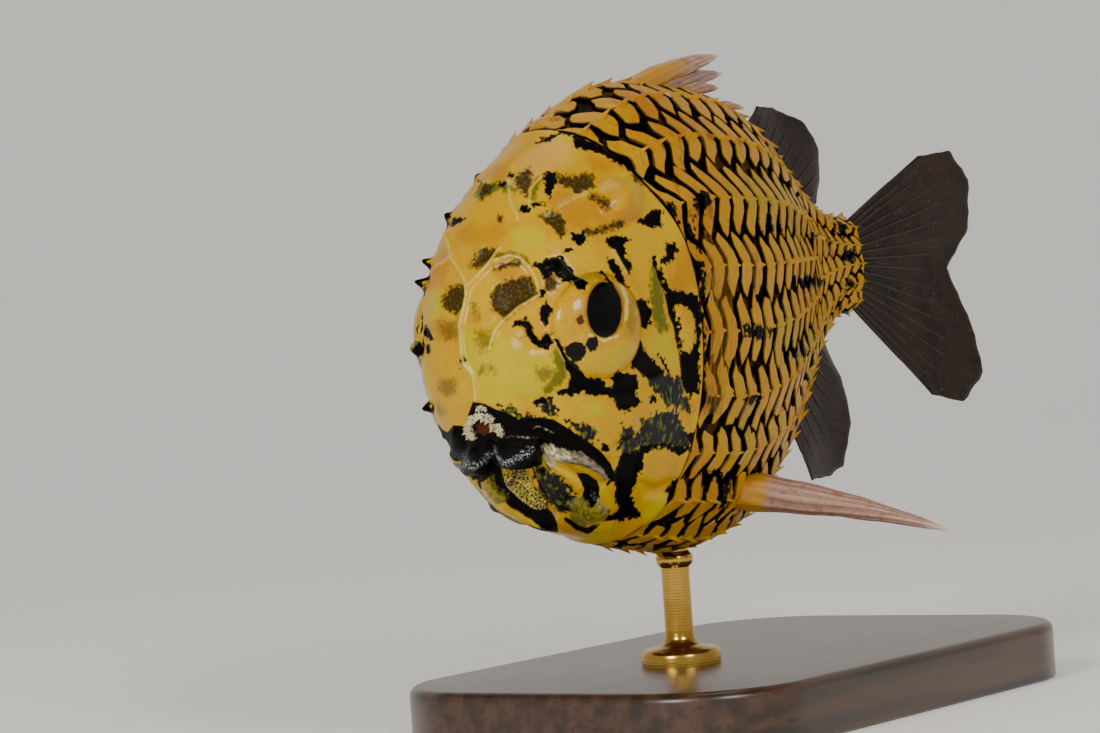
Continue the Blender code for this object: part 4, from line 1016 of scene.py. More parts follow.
def around(share, behind):
    """The angles at these shares of the way round from the back (0) to the belly (1) and back (2)."""
    share, behind = np.broadcast_arrays(np.asarray(share, float), np.asarray(behind, float))
    way = np.abs((share.ravel() + 1) % 2 - 1)
    side = np.where(share.ravel() % 2 <= 1, 1.0, -1.0)
    turns = np.linspace(0, math.pi, 91)
    ring = body(behind.ravel()[:, None], turns)
    lengths = np.cumsum(np.linalg.norm(np.diff(ring, axis=1), axis=2), axis=1)
    lengths = np.concatenate([np.zeros((len(way), 1)), lengths], axis=1)
    target = way * lengths[:, -1]
    after = np.clip((lengths < target[:, None]).sum(axis=1), 1, len(turns) - 1)
    pick = np.arange(len(way))
    low, high = lengths[pick, after - 1], lengths[pick, after]
    part = (target - low) / np.maximum(high - low, 1e-9)
    return (side * (turns[after - 1] + part * (turns[1] - turns[0]))).reshape(share.shape)


def row_share(row, edges):
    """The share of the way round at a place in the rows: 0 is the row on the back, halves are edges."""
    count = len(edges)
    shares = [-edges[0], *edges, *(2 - edge for edge in reversed(edges))]
    knots = np.arange(len(shares)) - 0.5
    return np.interp(row % (2 * count), knots, shares)


def rows_from_back(row, edges):
    """How many rows lie between a place in the rows and the row on the back, on either side."""
    return abs((row + len(edges)) % (2 * len(edges)) - len(edges))


print("rows round the trunk:", 2 * len(TRUNK_EDGES), "and round the tail:", 2 * len(TAIL_EDGES))


# %% [markdown]
# A plate is a stack of rings: a foot in the skin, a brim, a crown that is drawn in a little, and a narrow
# ridge along the middle from which two points rise, the keel and the spine. No two are alike, so each draws
# its own outline, tint and spine from one fixed row of random numbers.

# %% The plan of the plates
HALF_GAP = 0.14
# About half the girth of the trunk, which turns the height of a row into millimetres.
HALF_GIRTH = 46
PLATES_FROM = 19.0
NEAR_EDGE = 0.49
LEAST_ROW = 1.5
RAGGED = (0.07, 0.03)
MORE_RAGGED = (0.15, 0.06)
ROW_OF_RAGGED = 5
# A plate's outline in half columns and rows, from its lower tip round by the rear. Its rear is drawn out
# to a cusp, and its front has a notch for the cusp of the plate before it.
REAR_OUTLINE = ((0.06, -0.57), (0.52, -0.46), (0.86, -0.35), (0.98, -0.17), (1.08, 0.0))
FRONT_OUTLINE = ((-0.44, 0.46), (-0.82, 0.34), (-0.9, 0.16), (-0.64, 0.0))
OUTLINE = (
    *REAR_OUTLINE,
    *((x, -y) for x, y in reversed(REAR_OUTLINE[:-1])),
    *FRONT_OUTLINE,
    *((x, -y) for x, y in reversed(FRONT_OUTLINE[:-1])),
)
# How many half columns each row of the trunk bends forward at its edges, from the back to the belly.
TRUNK_LEAN = (0.1, 0.2, 0.4, 0.95, 0.35, 0.3, 0.55, 0.45, 0.4, 0.3, 0.2)
TAIL_LEAN = (0.3, 0.4, 0.3, 0.3, 0.3, 0.3, 0.3)
# Each ring of a plate: how far out it lies along and across, its layer, and how far it is up the keel.
PLATE_RINGS = ((1, 1, 0, 0), (0.97, 0.985, 0.85, 0), (0.86, 0.94, 1.05, 0), (0.6, 0.12, 1.15, 0.1))
KEEL_AT = (-0.3, 0.25)
SPINE_AT = (1.12, 1.0)
TIP_LAYER = 1.1
KEEL_SPREAD = (0.8, 1.2)
SPINE_SPREAD = (0.85, 1.3)
WANDER = (0.1, 0.04)
# Sides of the ridge whose ends add up to less than this slope to the keel, and the others to the spine.
KEEL_SIDE = 0.1
# Keels are low in these rows from the back, up to this share of the columns, and their spines are shorter.
FLAT_ROWS = (3, 8)
FLAT_COLUMNS = 0.62
FLATNESS = 0.22
FLAT_SPINE = 0.92
# Beyond the first and the last column the plates are squashed to this share of their length.
SQUASH = 0.08
SQUASH_FROM = 0.25


def plate_outline(draw, ragged):
    """The corners of one plate in half columns and rows, ragged a little."""
    outline = np.array(OUTLINE)
    return outline + draw.normal(0, 1, outline.shape) * ragged + draw.normal(0, 1, 2) * WANDER


def plate_faces(outline, start):
    """The sides of a plate, the slopes up to its keel and its spine, and the two between these points."""
    count = len(outline)
    faces = ring_faces(len(PLATE_RINGS), count, start)
    inner = start + (len(PLATE_RINGS) - 1) * count
    keel, spine = inner + count, inner + count + 1
    ahead = [outline[k, 0] + outline[(k + 1) % count, 0] < KEEL_SIDE for k in range(count)]
    faces += [(inner + k, inner + (k + 1) % count, keel if ahead[k] else spine) for k in range(count)]
    for k in range(count):
        if ahead[k - 1] != ahead[k]:
            faces.append((inner + k, keel, spine) if ahead[k - 1] else (inner + k, spine, keel))
    return faces


def plate_plan(front, rear, edges, columns, lean, flat_rows=(0, 0)):
    """For every point of the plates between a front and a rear edge: how far it lies behind the snout and
    round the girth, and its marks. Then the plates' faces, and the foot of each."""
    rows = 2 * len(edges)
    halves = 2 * columns
    half_pitch = (rear - PLATES_FROM) / halves
    places, faces, feet = [], [], []
    marks = {"layer": [], "keel": [], "tint": [], "along": []}
    for row in range(rows):
        height = (row_share(row + NEAR_EDGE, edges) - row_share(row - NEAR_EDGE, edges)) % 2 * HALF_GIRTH
        row_height = max(height, LEAST_ROW)
        inset = (1 - HALF_GAP / half_pitch, 1 - 2 * HALF_GAP / row_height)
        from_back = rows_from_back(row, edges)
        for column in range(halves + 1):
            if (column + row) % 2 == 0:
                continue
            outline = plate_outline(rng, MORE_RAGGED if from_back >= ROW_OF_RAGGED else RAGGED)
            tint = rng.uniform()
            flat = flat_rows[0] <= from_back < flat_rows[1] and column < FLAT_COLUMNS * halves
            rise = FLATNESS if flat else 1.0
            start = len(places)
            for along, across, layer, keel in PLATE_RINGS:
                ring = outline * inset * (along, across) + (column, row)
                places += [tuple(p) for p in ring]
                marks["layer"] += [layer] * len(ring)
                marks["keel"] += [keel] * len(ring)
                marks["along"] += list(outline[:, 0] * along)
            spine_at = SPINE_AT[0] * (FLAT_SPINE if flat else 1.0)
            places += [(column + KEEL_AT[0], row), (column + spine_at, row)]
            marks["layer"] += [TIP_LAYER, TIP_LAYER]
            marks["along"] += [KEEL_AT[0], SPINE_AT[0]]
            marks["keel"].append(KEEL_AT[1] * rise * rng.uniform(*KEEL_SPREAD))
            marks["keel"].append(SPINE_AT[1] * rise * rng.uniform(*SPINE_SPREAD))
            marks["tint"] += [tint] * (len(places) - start)
            faces += plate_faces(outline, start)
            feet.append(tuple(range(start + len(outline) - 1, start - 1, -1)))
    places = np.array(places)
    bend = np.interp(rows_from_back(places[:, 1], edges), np.arange(len(lean)), lean)
    share = row_share(places[:, 1], edges)
    start = front(around(share, np.full(len(share), (PLATES_FROM + rear) / 2)))
    column = places[:, 0] + bend * np.cos(2 * math.pi * places[:, 1])
    column += (1 - SQUASH) * (np.clip(column, SQUASH_FROM, halves - SQUASH_FROM) - column)
    behind = start + (rear - start) * column / halves
    return behind, share, marks, faces, feet


trunk_plan = plate_plan(gill_edge, TAIL_SEAM, TRUNK_EDGES, 12, TRUNK_LEAN, FLAT_ROWS)
tail_plan = plate_plan(lambda angle: 0 * angle + TAIL_SEAM, BODY_END, TAIL_EDGES, 7, TAIL_LEAN)
print("plates:", len(trunk_plan[-1]), "on the trunk and", len(tail_plan[-1]), "on the tail")


# %% [markdown]
# The flat plan of all plates goes to a tree of Geometry Nodes, which lifts every point by its layer and
# roughens it, so that one number thickens the whole coat. Two more functions are for every tree: one sets the
# finish on real meshes, and one runs the tree on an object and keeps the mesh that it gives.

# %% The tree that raises the plates
def new_tree(name, sizes):
    """An empty tree of Geometry Nodes with a mesh coming in, named sizes, and a mesh going out."""
    made = bpy.data.node_groups.new(name, "GeometryNodeTree")
    made.interface.new_socket("Geometry", in_out="INPUT", socket_type="NodeSocketGeometry")
    for size, value in sizes.items():
        kind = "NodeSocketInt" if isinstance(value, int) else "NodeSocketFloat"
        made.interface.new_socket(size, in_out="INPUT", socket_type=kind).default_value = value
    made.interface.new_socket("Geometry", in_out="OUTPUT", socket_type="NodeSocketGeometry")
    entry = add(made, "NodeGroupInput")
    leave = add(made, "NodeGroupOutput")
    return made, entry.outputs, leave


def finish_tree(made, leave, geometry, finish):
    """Real meshes instead of instances, and the finish on them."""
    real = add(made, "GeometryNodeRealizeInstances", {"Geometry": geometry})
    dressed = add(made, "GeometryNodeSetMaterial", {"Geometry": real.outputs[0], "Material": finish})
    made.links.new(dressed.outputs[0], leave.inputs[0])


def grow(obj, made, sizes):
    """Runs a tree on an object and keeps the mesh that it gives."""
    modifier = obj.modifiers.new("grow", "NODES")
    modifier.node_group = made
    for item in made.interface.items_tree:
        if item.in_out == "INPUT" and item.name in sizes:
            modifier[item.identifier] = sizes[item.name]
    bpy.context.view_layer.update()
    evaluated = obj.evaluated_get(bpy.context.evaluated_depsgraph_get())
    mesh = bpy.data.meshes.new_from_object(evaluated)
    obj.modifiers.clear()
    obj.data = mesh
    return obj


def plates_tree(finish):
    """Moves every point out by its layer, by how far it is up the keel, and by a little noise."""
    sizes = {"Thickness": 0.5 * MM, "Keel height": 0.45 * MM, "Roughness": 0.05 * MM, "Grain": 0.45 * MM}
    made, entry, leave = new_tree("raise_plates", sizes)
    carried = {}
    for name, kind in (("layer", "FLOAT"), ("keel", "FLOAT"), ("out", "FLOAT_VECTOR")):
        stored = add(made, "GeometryNodeInputNamedAttribute", {"Name": name}, data_type=kind)
        carried[name] = stored.outputs["Attribute"]
    scale = add(made, "ShaderNodeMath", {0: 1.0, 1: entry["Grain"]}, operation="DIVIDE").outputs[0]
    noise = add(made, "ShaderNodeTexNoise", {"Scale": scale, "Detail": 2.0}).outputs[0]
    centred = add(made, "ShaderNodeMath", {0: noise, 1: 0.5}, operation="SUBTRACT").outputs[0]
    rough = add(made, "ShaderNodeMath", {0: centred, 1: entry["Roughness"]}, operation="MULTIPLY").outputs[0]
    keeled = {0: carried["keel"], 1: entry["Keel height"], 2: rough}
    keeled = add(made, "ShaderNodeMath", keeled, operation="MULTIPLY_ADD").outputs[0]
    height = {0: carried["layer"], 1: entry["Thickness"], 2: keeled}
    height = add(made, "ShaderNodeMath", height, operation="MULTIPLY_ADD").outputs[0]
    move = add(made, "ShaderNodeVectorMath", {0: carried["out"], 3: height}, operation="SCALE").outputs[0]
    placed = add(made, "GeometryNodeSetPosition", {"Geometry": entry["Geometry"], "Offset": move})
    finish_tree(made, leave, placed.outputs[0], finish)
    return made, sizes


# %% [markdown]
# Marks of the flank are drawn in the photograph's pixels too: black ones on the plates, the orange ground
# under the breast fin, and greenish patches. They turn into fields as the marks of the head do.

# %% Marks of the flank
FLANK_BLACK = {
    "shoulder": line(3.0, 668, 206, 684, 226, 697, 250, 701, 286, 700, 330, 700, 392),
    "upper": area(756, 220, 768, 214, 783, 222, 781, 234, 764, 235),
    "middle": area(735, 327, 752, 324, 775, 331, 773, 340, 748, 339),
    "rear": area(786, 278, 806, 275, 825, 281, 823, 288, 800, 287),
    "peduncle_top": line(2.6, 810, 236, 814, 249, 826, 249, 828, 237),
    "peduncle_cross": area(834, 223, 846, 223, 845, 238, 834, 237),
    "peduncle_middle": area(839, 250, 855, 251, 853, 262, 840, 261),
    "peduncle_low": area(842, 280, 852, 281, 850, 292, 842, 291),
    "peduncle_foot": area(837, 308, 848, 309, 846, 320, 837, 319),
    "pelvic_bar": line(4.0, 702, 477, 714, 473, 726, 480, 722, 494, 721, 514),
    "nape": area(690, 196, 704, 190, 712, 204, 706, 222, 694, 214),
    "under_fan": area(698, 392, 716, 398, 718, 414, 704, 412),
    "low": area(742, 398, 760, 394, 762, 404, 748, 408),
    "belly": area(706, 438, 718, 436, 716, 446, 706, 446),
    "rear_low": area(790, 348, 806, 346, 806, 356, 792, 358),
}
FLANK_ORANGE = {
    "fan_ground": line(4.0, 700, 246, 700, 300, 701, 340, 702, 392),
    "shoulder": area(668, 215, 700, 200, 712, 230, 700, 262, 676, 262),
    "back": area(600, 92, 660, 96, 700, 120, 690, 140, 640, 126),
    "throat": area(676, 440, 700, 440, 702, 470, 680, 474),
}
FLANK_GREEN = {
    "rear_top": area(740, 150, 790, 190, 806, 240, 770, 230, 738, 190),
    "rear": area(770, 320, 820, 310, 812, 380, 776, 372),
    "low": area(708, 420, 760, 410, 756, 440, 712, 444),
}
PLATE_FIELDS = {"black": FLANK_BLACK, "orange": FLANK_ORANGE, "green": FLANK_GREEN}
print(sum(len(marks) for marks in PLATE_FIELDS.values()), "marks on the flank")


# %% [markdown]
# On the fish the plates are bone under a film of skin. On the model they are cast with the body and painted
# plate by plate: the same yellow, some warmer and some greener, with fine streaks from back to belly. Painted
# shade between the plates darkens each front notch, brim and side wall, brown to black like the skin of the
# gaps. The same varnish gives every plate's edge a small glint.

# %% Finish of the plates
plate_varnish = {"Coat Weight": 0.3, "Coat Roughness": 0.2}
plate_finish, tree, shader, place = new_finish("varnished_paint_on_cast_plates", 0.4, plate_varnish)
# Streaks a fifth of a millimetre apart along the fish, and long from back to belly.
streaks = grains(tree, place, 0.9, 4.0, (4.5, 1.6, 1.0))
black_mask = painted(tree, place, "black", 0.2, 0.4, 0.08)
paint = laid(
    tree,
    "#bc8400",
    (graded(tree, "tint", 0.15, 0.55), "#c48f00"),
    (graded(tree, "tint", 0.75, 1.0, most=0.8), "#b68a00"),
    (clouds(tree, place, 5.0, 0.5, 0.7, most=0.5), "#b87700"),
    (painted(tree, place, "orange", 0.6, 1.2, 0.6, 0.7), "#b06c00"),
    (painted(tree, place, "green", 1.0, 2.0, 1.2, 0.8), "#ac8d00"),
    (clouds(tree, place, 0.9, 0.52, 0.74, most=0.5, detail=4.0, stretch=(4.5, 1.6, 1.0)), "#8e5a00"),
    (clouds(tree, place, 2.2, 0.6, 0.72, most=0.6, detail=4.0, stretch=(1.6, 1.0, 1.0)), "#6a3e06"),
    (clouds(tree, place, 0.9, 0.28, 0.42, 0.4, 0.0, detail=4.0, stretch=(4.5, 1.6, 1.0)), "#cca000"),
    # Painted shade between the plates: dark brown on the front notch and the brim, black down the side walls.
    (graded(tree, "along", -0.84, -0.6, 0.9, 0.0), "#3c1e02"),
    (graded(tree, "layer", 0.84, 1.04, 0.95, 0.0), "#201000"),
    (graded(tree, "layer", 0.5, 0.9, 1.0, 0.0), "#020202"),
    (graded(tree, "keel", 0.7, 1.3, most=0.4), "#c08c50"),
    (black_mask, "#020202"),
)
for socket, bare, covered in (("Coat Weight", 0.2, 0.05), ("Specular IOR Level", 0.12, 0.05)):
    shine = add(tree, "ShaderNodeMapRange", {"Value": black_mask, "To Min": bare, "To Max": covered})
    tree.links.new(shine.outputs["Result"], shader.inputs[socket])
dress(tree, shader, paint, streaks, 0.09, 0.8)


# The plates' feet lie this many times as deep as the skin between them.
FEET_DEPTH = 1.2
UV_MARGIN = 0.06


def make_plates(name, plan, sizes=None):
    """The plates of a plan, raised from the skin, with their marks and a map for the baked paint."""
    behind, share, marks, faces, feet = plan
    angle = around(share, behind)
    at = body(behind, angle)
    out = body_normal(behind, angle)
    obj = mesh_object(name, at + out * UNDER_PLATES * FEET_DEPTH, faces + feet, plate_finish, False)
    mesh = obj.data
    for mark, values in marks.items():
        give(obj, mark, values)
    stored = mesh.attributes.new("out", "FLOAT_VECTOR", "POINT")
    stored.data.foreach_set("vector", (out * (1, -1, 1)).astype(np.float32).ravel())
    for field, marks in PLATE_FIELDS.items():
        give(obj, field, field_of(at, out, marks))
    corners = np.zeros(len(mesh.loops), np.int32)
    mesh.loops.foreach_get("vertex_index", corners)
    round_body = (share + UV_MARGIN) / (2 + 2 * UV_MARGIN)
    patch = np.stack([round_body, behind / STANDARD_LENGTH], axis=1)[corners]
    mesh.uv_layers.new(name="OFBake").uv.foreach_set("vector", patch.astype(np.float32).ravel())
    made, defaults = plates_tree(plate_finish)
    grow(obj, made, {**defaults, **(sizes or {})})
    return outwards(obj)


trunk_plates = make_plates("plates_trunk", trunk_plan)
tail_plates = make_plates("plates_tail", tail_plan, {"Keel height": 0.35 * MM})
print("plates' faces:", len(trunk_plates.data.polygons), len(tail_plates.data.polygons))


# %% [markdown]
# A fish's eye has no lids. It is a flat ball that sits in the bony orbit, with a round black pupil and a
# golden iris that the black stripe of the face runs across. Model makers cast it in clear resin over the
# painted iris. Here one shell carries the paint, pale arcs beside the pupil are a painted highlight, and a
# smooth clear coat gives the wet highlight.

# %% The eyes
EYE_RINGS = 90
EYE_POINTS = 144
EYE_OPENING = 0.02


def oval(x, y, half_width, half_height, tilt=0.0, count=28):
    """An oval mark."""
    turn = np.linspace(0, 2 * math.pi, count, endpoint=False)
    flat = np.stack([half_width * np.cos(turn), half_height * np.sin(turn)], axis=1)
    c, s = math.cos(tilt), math.sin(tilt)
    return None, [(x + p[0] * c - p[1] * s, y + p[0] * s + p[1] * c) for p in flat]


EYE_FIELDS = {
    "pupil": {"pupil": oval(604.5, 310, 17.6, 28)},
    "ring": {"ring": oval(604.5, 310, 20.0, 30.5)},
    # Pale arcs beside the pupil, a painted highlight: the rear one is a lamp's reflection along the ball's
    # rim.
    "glow": {"rear": line(1.6, 622, 286, 627, 300, 626, 320), "low": line(1.2, 590, 335, 604, 341, 618, 336)},
    "black": {
        "front": oval(576, 351, 10.5, 10),
        "second": oval(593, 344, 6.0, 8, 0.4),
        **{name: BLACK[name] for name in ("before_eye", "below_eye", "brow_slit", "lid_line", "cheek_drop")},
    },
    "brown": {"spot": oval(580, 320, 4.2, 5)},
    "olive": {"band": line(5.0, 556, 290, 574, 280, 600, 274), "rear": line(3.0, 632, 300, 632, 330)},
    "lemon": {"below": line(12.0, 590, 366, 612, 362, 628, 350)},
}

resin = {"IOR": 1.45, "Specular IOR Level": 0.2, "Coat Weight": 0.35, "Coat Roughness": 0.03, "Coat IOR": 1.5}
eye_finish, tree, shader, place = new_finish("clear_resin_over_painted_iris", 0.35, resin)
black_mask = painted(tree, place, "black", 0.1, 0.4, 0.06)
pupil_mask = painted(tree, place, "pupil", 0.02, 0.5, 0.04)
iris = laid(
    tree,
    "#bc8600",
    (clouds(tree, place, 1.6, 0.35, 0.65), "#c69900"),
    (clouds(tree, place, 0.25, 0.5, 0.7, most=0.4), "#8a6800"),
    (painted(tree, place, "lemon", 0.4, 1.5, 0.5), "#c2a000"),
    (painted(tree, place, "olive", 0.3, 0.6, 0.4, 0.7), "#766800"),
    (painted(tree, place, "brown", 0.08, 0.3, 0.08), "#4a2408"),
    (painted(tree, place, "ring", 0.03, 0.4, 0.08), "#946a00"),
    # Painted highlight: pale arcs beside the pupil.
    (painted(tree, place, "glow", 0.03, 0.4, 0.08), "#dcc468"),
    (black_mask, "#020202"),
    (pupil_mask, "#000001"),
)
dress(tree, shader, iris)
dark = add(tree, "ShaderNodeMath", {0: black_mask, 1: pupil_mask}, operation="MAXIMUM").outputs[0]
shine = add(tree, "ShaderNodeMapRange", {"Value": dark, "To Min": 0.2, "To Max": 0.03})
tree.links.new(shine.outputs["Result"], shader.inputs["Specular IOR Level"])


def make_eye(name, side):
    """A flat ball that looks out to one side: 1 is the fish's left, and -1 its right."""
    look = EYE_LOOK * (1, side, 1)
    across = np.cross(look, (0, 0, 1))
    across /= np.linalg.norm(across)
    up = np.cross(across, look)
    polar = np.linspace(EYE_OPENING, math.pi - EYE_OPENING, EYE_RINGS)[:, None, None]
    turn = np.linspace(0, 2 * math.pi, EYE_POINTS, endpoint=False)[None, :, None]
    flat = (across * np.cos(turn) + up * np.sin(turn)) * np.sin(polar)
    ball = EYE_AT * (1, side, 1) + EYE_RADIUS * (flat + look * EYE_FLATNESS * np.cos(polar))
    normals = flat + look / EYE_FLATNESS * np.cos(polar)
    normals = (normals / np.linalg.norm(normals, axis=2, keepdims=True)).reshape(-1, 3)
    normals = np.concatenate([normals, [look, -look]])
    points = np.concatenate([ball.reshape(-1, 3), [ball[0].mean(axis=0), ball[-1].mean(axis=0)]])
    obj = mesh_object(name, points, closed_faces(EYE_RINGS, EYE_POINTS), eye_finish)
    for field, marks in EYE_FIELDS.items():
        give(obj, field, field_of(points, normals, marks))
    return outwards(obj)


eyes = [make_eye("eyeball_left", 1), make_eye("eyeball_right", -1)]
print("eye across, mm:", round(2 * EYE_RADIUS, 1))


# %% [markdown]
# Small round grains glow on the light organ of the lower jaw, and pale tufts of skin stand round a rosette on
# the lip. Such things are sown: a tree scatters points on a patch of skin, puts a small ball or cone on each,
# turns it to the skin's normal and makes it real.

# %% Grains and tufts
# More points to a square metre than there is room for: the spacing alone thins them out.
CROWDED = 4e8


def skin_patch(name, field, deepest, finish):
    """The faces of the head whose points all lie inside a field, as an object of their own."""
    values = np.zeros(len(skin.data.vertices), np.float32)
    skin.data.attributes[field].data.foreach_get("value", values)
    inside = values < deepest
    picked = [tuple(p.vertices) for p in skin.data.polygons if all(inside[list(p.vertices)])]
    used = sorted({v for face in picked for v in face})
    number = {v: k for k, v in enumerate(used)}
    places = fish(np.array([skin.data.vertices[v].co for v in used]))
    return mesh_object(name, places, [[number[v] for v in face] for face in picked], finish)


def sow_tree(name, shape, finish, sizes):
    """A tree that sows a shape over a patch: balls, or cones that lean out."""
    made, entry, leave = new_tree(name, sizes)
    spread = {"Mesh": entry["Geometry"], "Distance Min": entry["Spacing"], "Density Max": CROWDED}
    spread["Seed"] = entry["Seed"]
    sown = add(made, "GeometryNodeDistributePointsOnFaces", spread, distribute_method="POISSON")
    if shape == "ball":
        piece = add(made, "GeometryNodeMeshIcoSphere", {"Radius": 1.0, "Subdivisions": 1}).outputs[0]
    else:
        cone = {"Vertices": 6, "Radius Top": 0.25, "Radius Bottom": 1.0, "Depth": 3.2}
        piece = add(made, "GeometryNodeMeshCone", cone).outputs[0]
    drawn = {2: entry["Smallest"], 3: entry["Largest"], "Seed": entry["Seed"]}
    size = add(made, "FunctionNodeRandomValue", drawn, data_type="FLOAT").outputs[1]
    put = {"Points": sown.outputs[0], "Instance": piece, "Rotation": sown.outputs["Rotation"], "Scale": size}
    stood = add(made, "GeometryNodeInstanceOnPoints", put)
    finish_tree(made, leave, stood.outputs[0], finish)
    return made


grain_finish, tree, shader, place = new_finish("glossy_resin_drops", 0.25, {"Coat Weight": 0.4})
drops = laid(
    tree,
    "#c4ac28",
    (clouds(tree, place, 0.5, 0.44, 0.52, detail=2.0), "#8c8c34"),
    (clouds(tree, place, 0.7, 0.56, 0.62, detail=2.0), "#4a3010"),
)
dress(tree, shader, drops)
tuft_finish, tree, shader, place = new_finish("painted_resin_tufts", 0.45)
dress(tree, shader, laid(tree, "#dcd8bc", (clouds(tree, place, 0.5, 0.45, 0.65, detail=2.0), "#b4a45c")))

organ_sizes = {"Spacing": 0.24 * MM, "Smallest": 0.1 * MM, "Largest": 0.16 * MM, "Seed": 5}
organ_grains = skin_patch("organ_grains", "granular", -0.02, grain_finish)
grow(organ_grains, sow_tree("sow_grains", "ball", grain_finish, organ_sizes), organ_sizes)
tuft_sizes = {"Spacing": 0.2 * MM, "Smallest": 0.07 * MM, "Largest": 0.12 * MM, "Seed": 9}
lip_tufts = skin_patch("lip_tufts", "tufted", 0.0, tuft_finish)
grow(lip_tufts, sow_tree("sow_tufts", "cone", tuft_finish, tuft_sizes), tuft_sizes)
print("grains and tufts:", len(organ_grains.data.polygons), len(lip_tufts.data.polygons), "faces")


# %% [markdown]
# A fin is a fan of bony rays with a thin skin between them. In water the skin is clear with dark pigment. On
# the model it is a tinted film, dark and a little see-through, and the rays are painted on cast resin.

# %% Finishes of the fins
smoky_film = {"IOR": 1.46, "Alpha": 0.9, "Specular IOR Level": 0.3}
fin_finish, tree, shader, place = new_finish("tinted_clear_film_with_paint", 0.34, smoky_film)
smoke = laid(
    tree,
    "#1e130b",
    (clouds(tree, place, 2.5, 0.35, 0.65), "#2e1e12"),
    (clouds(tree, place, 0.25, 0.66, 0.72, most=0.7, detail=4.0), "#7a6648"),
)
dress(tree, shader, smoke, grains(tree, place, 0.5, 4.0), 0.06, 0.6)
ray_finish, tree, shader, place = new_finish("painted_resin_rays", 0.4, {"Coat Weight": 0.1})
bone = laid(
    tree,
    "#140c07",
    (clouds(tree, place, 1.4, 0.35, 0.65), "#281a10"),
    (clouds(tree, place, 0.35, 0.58, 0.66, most=0.6), "#4a3420"),
)
dress(tree, shader, bone, grains(tree, place, 0.4, 3.0), 0.06, 0.8)
print("finishes of the fins:", fin_finish.name, "and", ray_finish.name)


# %% [markdown]
# The skin of a fin is a closed sheet, a tenth of a millimetre thick, rippled a little. Each ray is a line of
# points over the sheet, forked beyond its middle, and Geometry Nodes sweep a circle along all lines at once,
# thick at the root and fine at the rim. A surface is a function: it gives the point at a share across the fin
# and a share from root to rim, and the way out of the sheet there.

# %% Sheets and rays
FIN_THICKNESS = 0.12
RAY_ROOT = 0.2
RAY_TIP = 0.075
COLUMNS_PER_RAY = 6
STEM_POINTS = 22
BRANCH_POINTS = 16
STEM_TO = 0.62
BRANCH_FROM = 0.6
BRANCH_SPREAD = 0.24
BRANCH_SLIMNESS = 0.72


def walk(points):
    """A function that walks along a line of points, from 0 at its start to 1 at its end."""
    points = np.asarray(points, float)
    lengths = np.concatenate([[0], np.cumsum(np.linalg.norm(np.diff(points, axis=0), axis=1))])
    lengths /= lengths[-1]
    return lambda t: np.stack([np.interp(t, lengths, points[:, k]) for k in range(points.shape[1])], axis=-1)


def sweep_tree(finish, sizes):
    """A tree that sweeps a circle along every line, scaled by its thickness there."""
    made, entry, leave = new_tree("sweep_rays", sizes)
    curve = add(made, "GeometryNodeMeshToCurve", {"Mesh": entry["Geometry"]}).outputs[0]
    thick = add(made, "GeometryNodeInputNamedAttribute", {"Name": "thick"}, data_type="FLOAT")
    sizes_along = {0: thick.outputs["Attribute"], 1: entry["Thickness"]}
    radius = add(made, "ShaderNodeMath", sizes_along, operation="MULTIPLY").outputs[0]
    circle = {"Resolution": entry["Sides"], "Radius": 1.0}
    profile = add(made, "GeometryNodeCurvePrimitiveCircle", circle).outputs[0]
    swept = {"Curve": curve, "Profile Curve": profile, "Scale": radius, "Fill Caps": True}
    tube = add(made, "GeometryNodeCurveToMesh", swept).outputs[0]
    smooth_tube = add(made, "GeometryNodeSetShadeSmooth", {"Geometry": tube}).outputs[0]
    finish_tree(made, leave, smooth_tube, finish)
    return made


def fin_sheet(surface, columns, steps):
    """The points and faces of a thin closed sheet over a surface."""
    u = np.linspace(0, 1, columns + 1)[:, None]
    v = np.linspace(0, 1, steps + 1)[None, :]
    centre, facing = surface(*np.broadcast_arrays(u, v))
    half = FIN_THICKNESS / 2
    points = np.concatenate([centre + facing * half, centre - facing * half]).reshape(-1, 3)
    far = (columns + 1) * (steps + 1)
    faces = []
    for c in range(columns):
        for k in range(steps):
            a = c * (steps + 1) + k
            b = a + steps + 1
            faces += [(a, b, b + 1, a + 1), (a + far, a + 1 + far, b + 1 + far, b + far)]
    rim = [c * (steps + 1) for c in range(columns + 1)]
    rim += [columns * (steps + 1) + k for k in range(1, steps + 1)]
    rim += [c * (steps + 1) + steps for c in range(columns - 1, -1, -1)]
    rim += list(range(steps - 1, 0, -1))
    faces += [(a, a + far, b + far, b) for a, b in zip(rim, rim[1:] + rim[:1])]
    return points, faces


def ray_stretches(rays, forks):
    """The stretches of all rays: each leads from one share across the fin to another, from low to high."""
    stretches = []
    for ray in range(rays):
        if not forks:
            middle = (ray / (rays - 1)) ** 2
            stretches.append((middle, middle, 0.0, 1.0))
            continue
        middle = ray / (rays - 1)
        spread = BRANCH_SPREAD / (rays - 1)
        stretches.append((middle, middle, 0.0, STEM_TO))
        for end in (middle - spread, middle + spread):
            stretches.append((middle, min(max(end, 0), 1), BRANCH_FROM, 1.0))
    return stretches


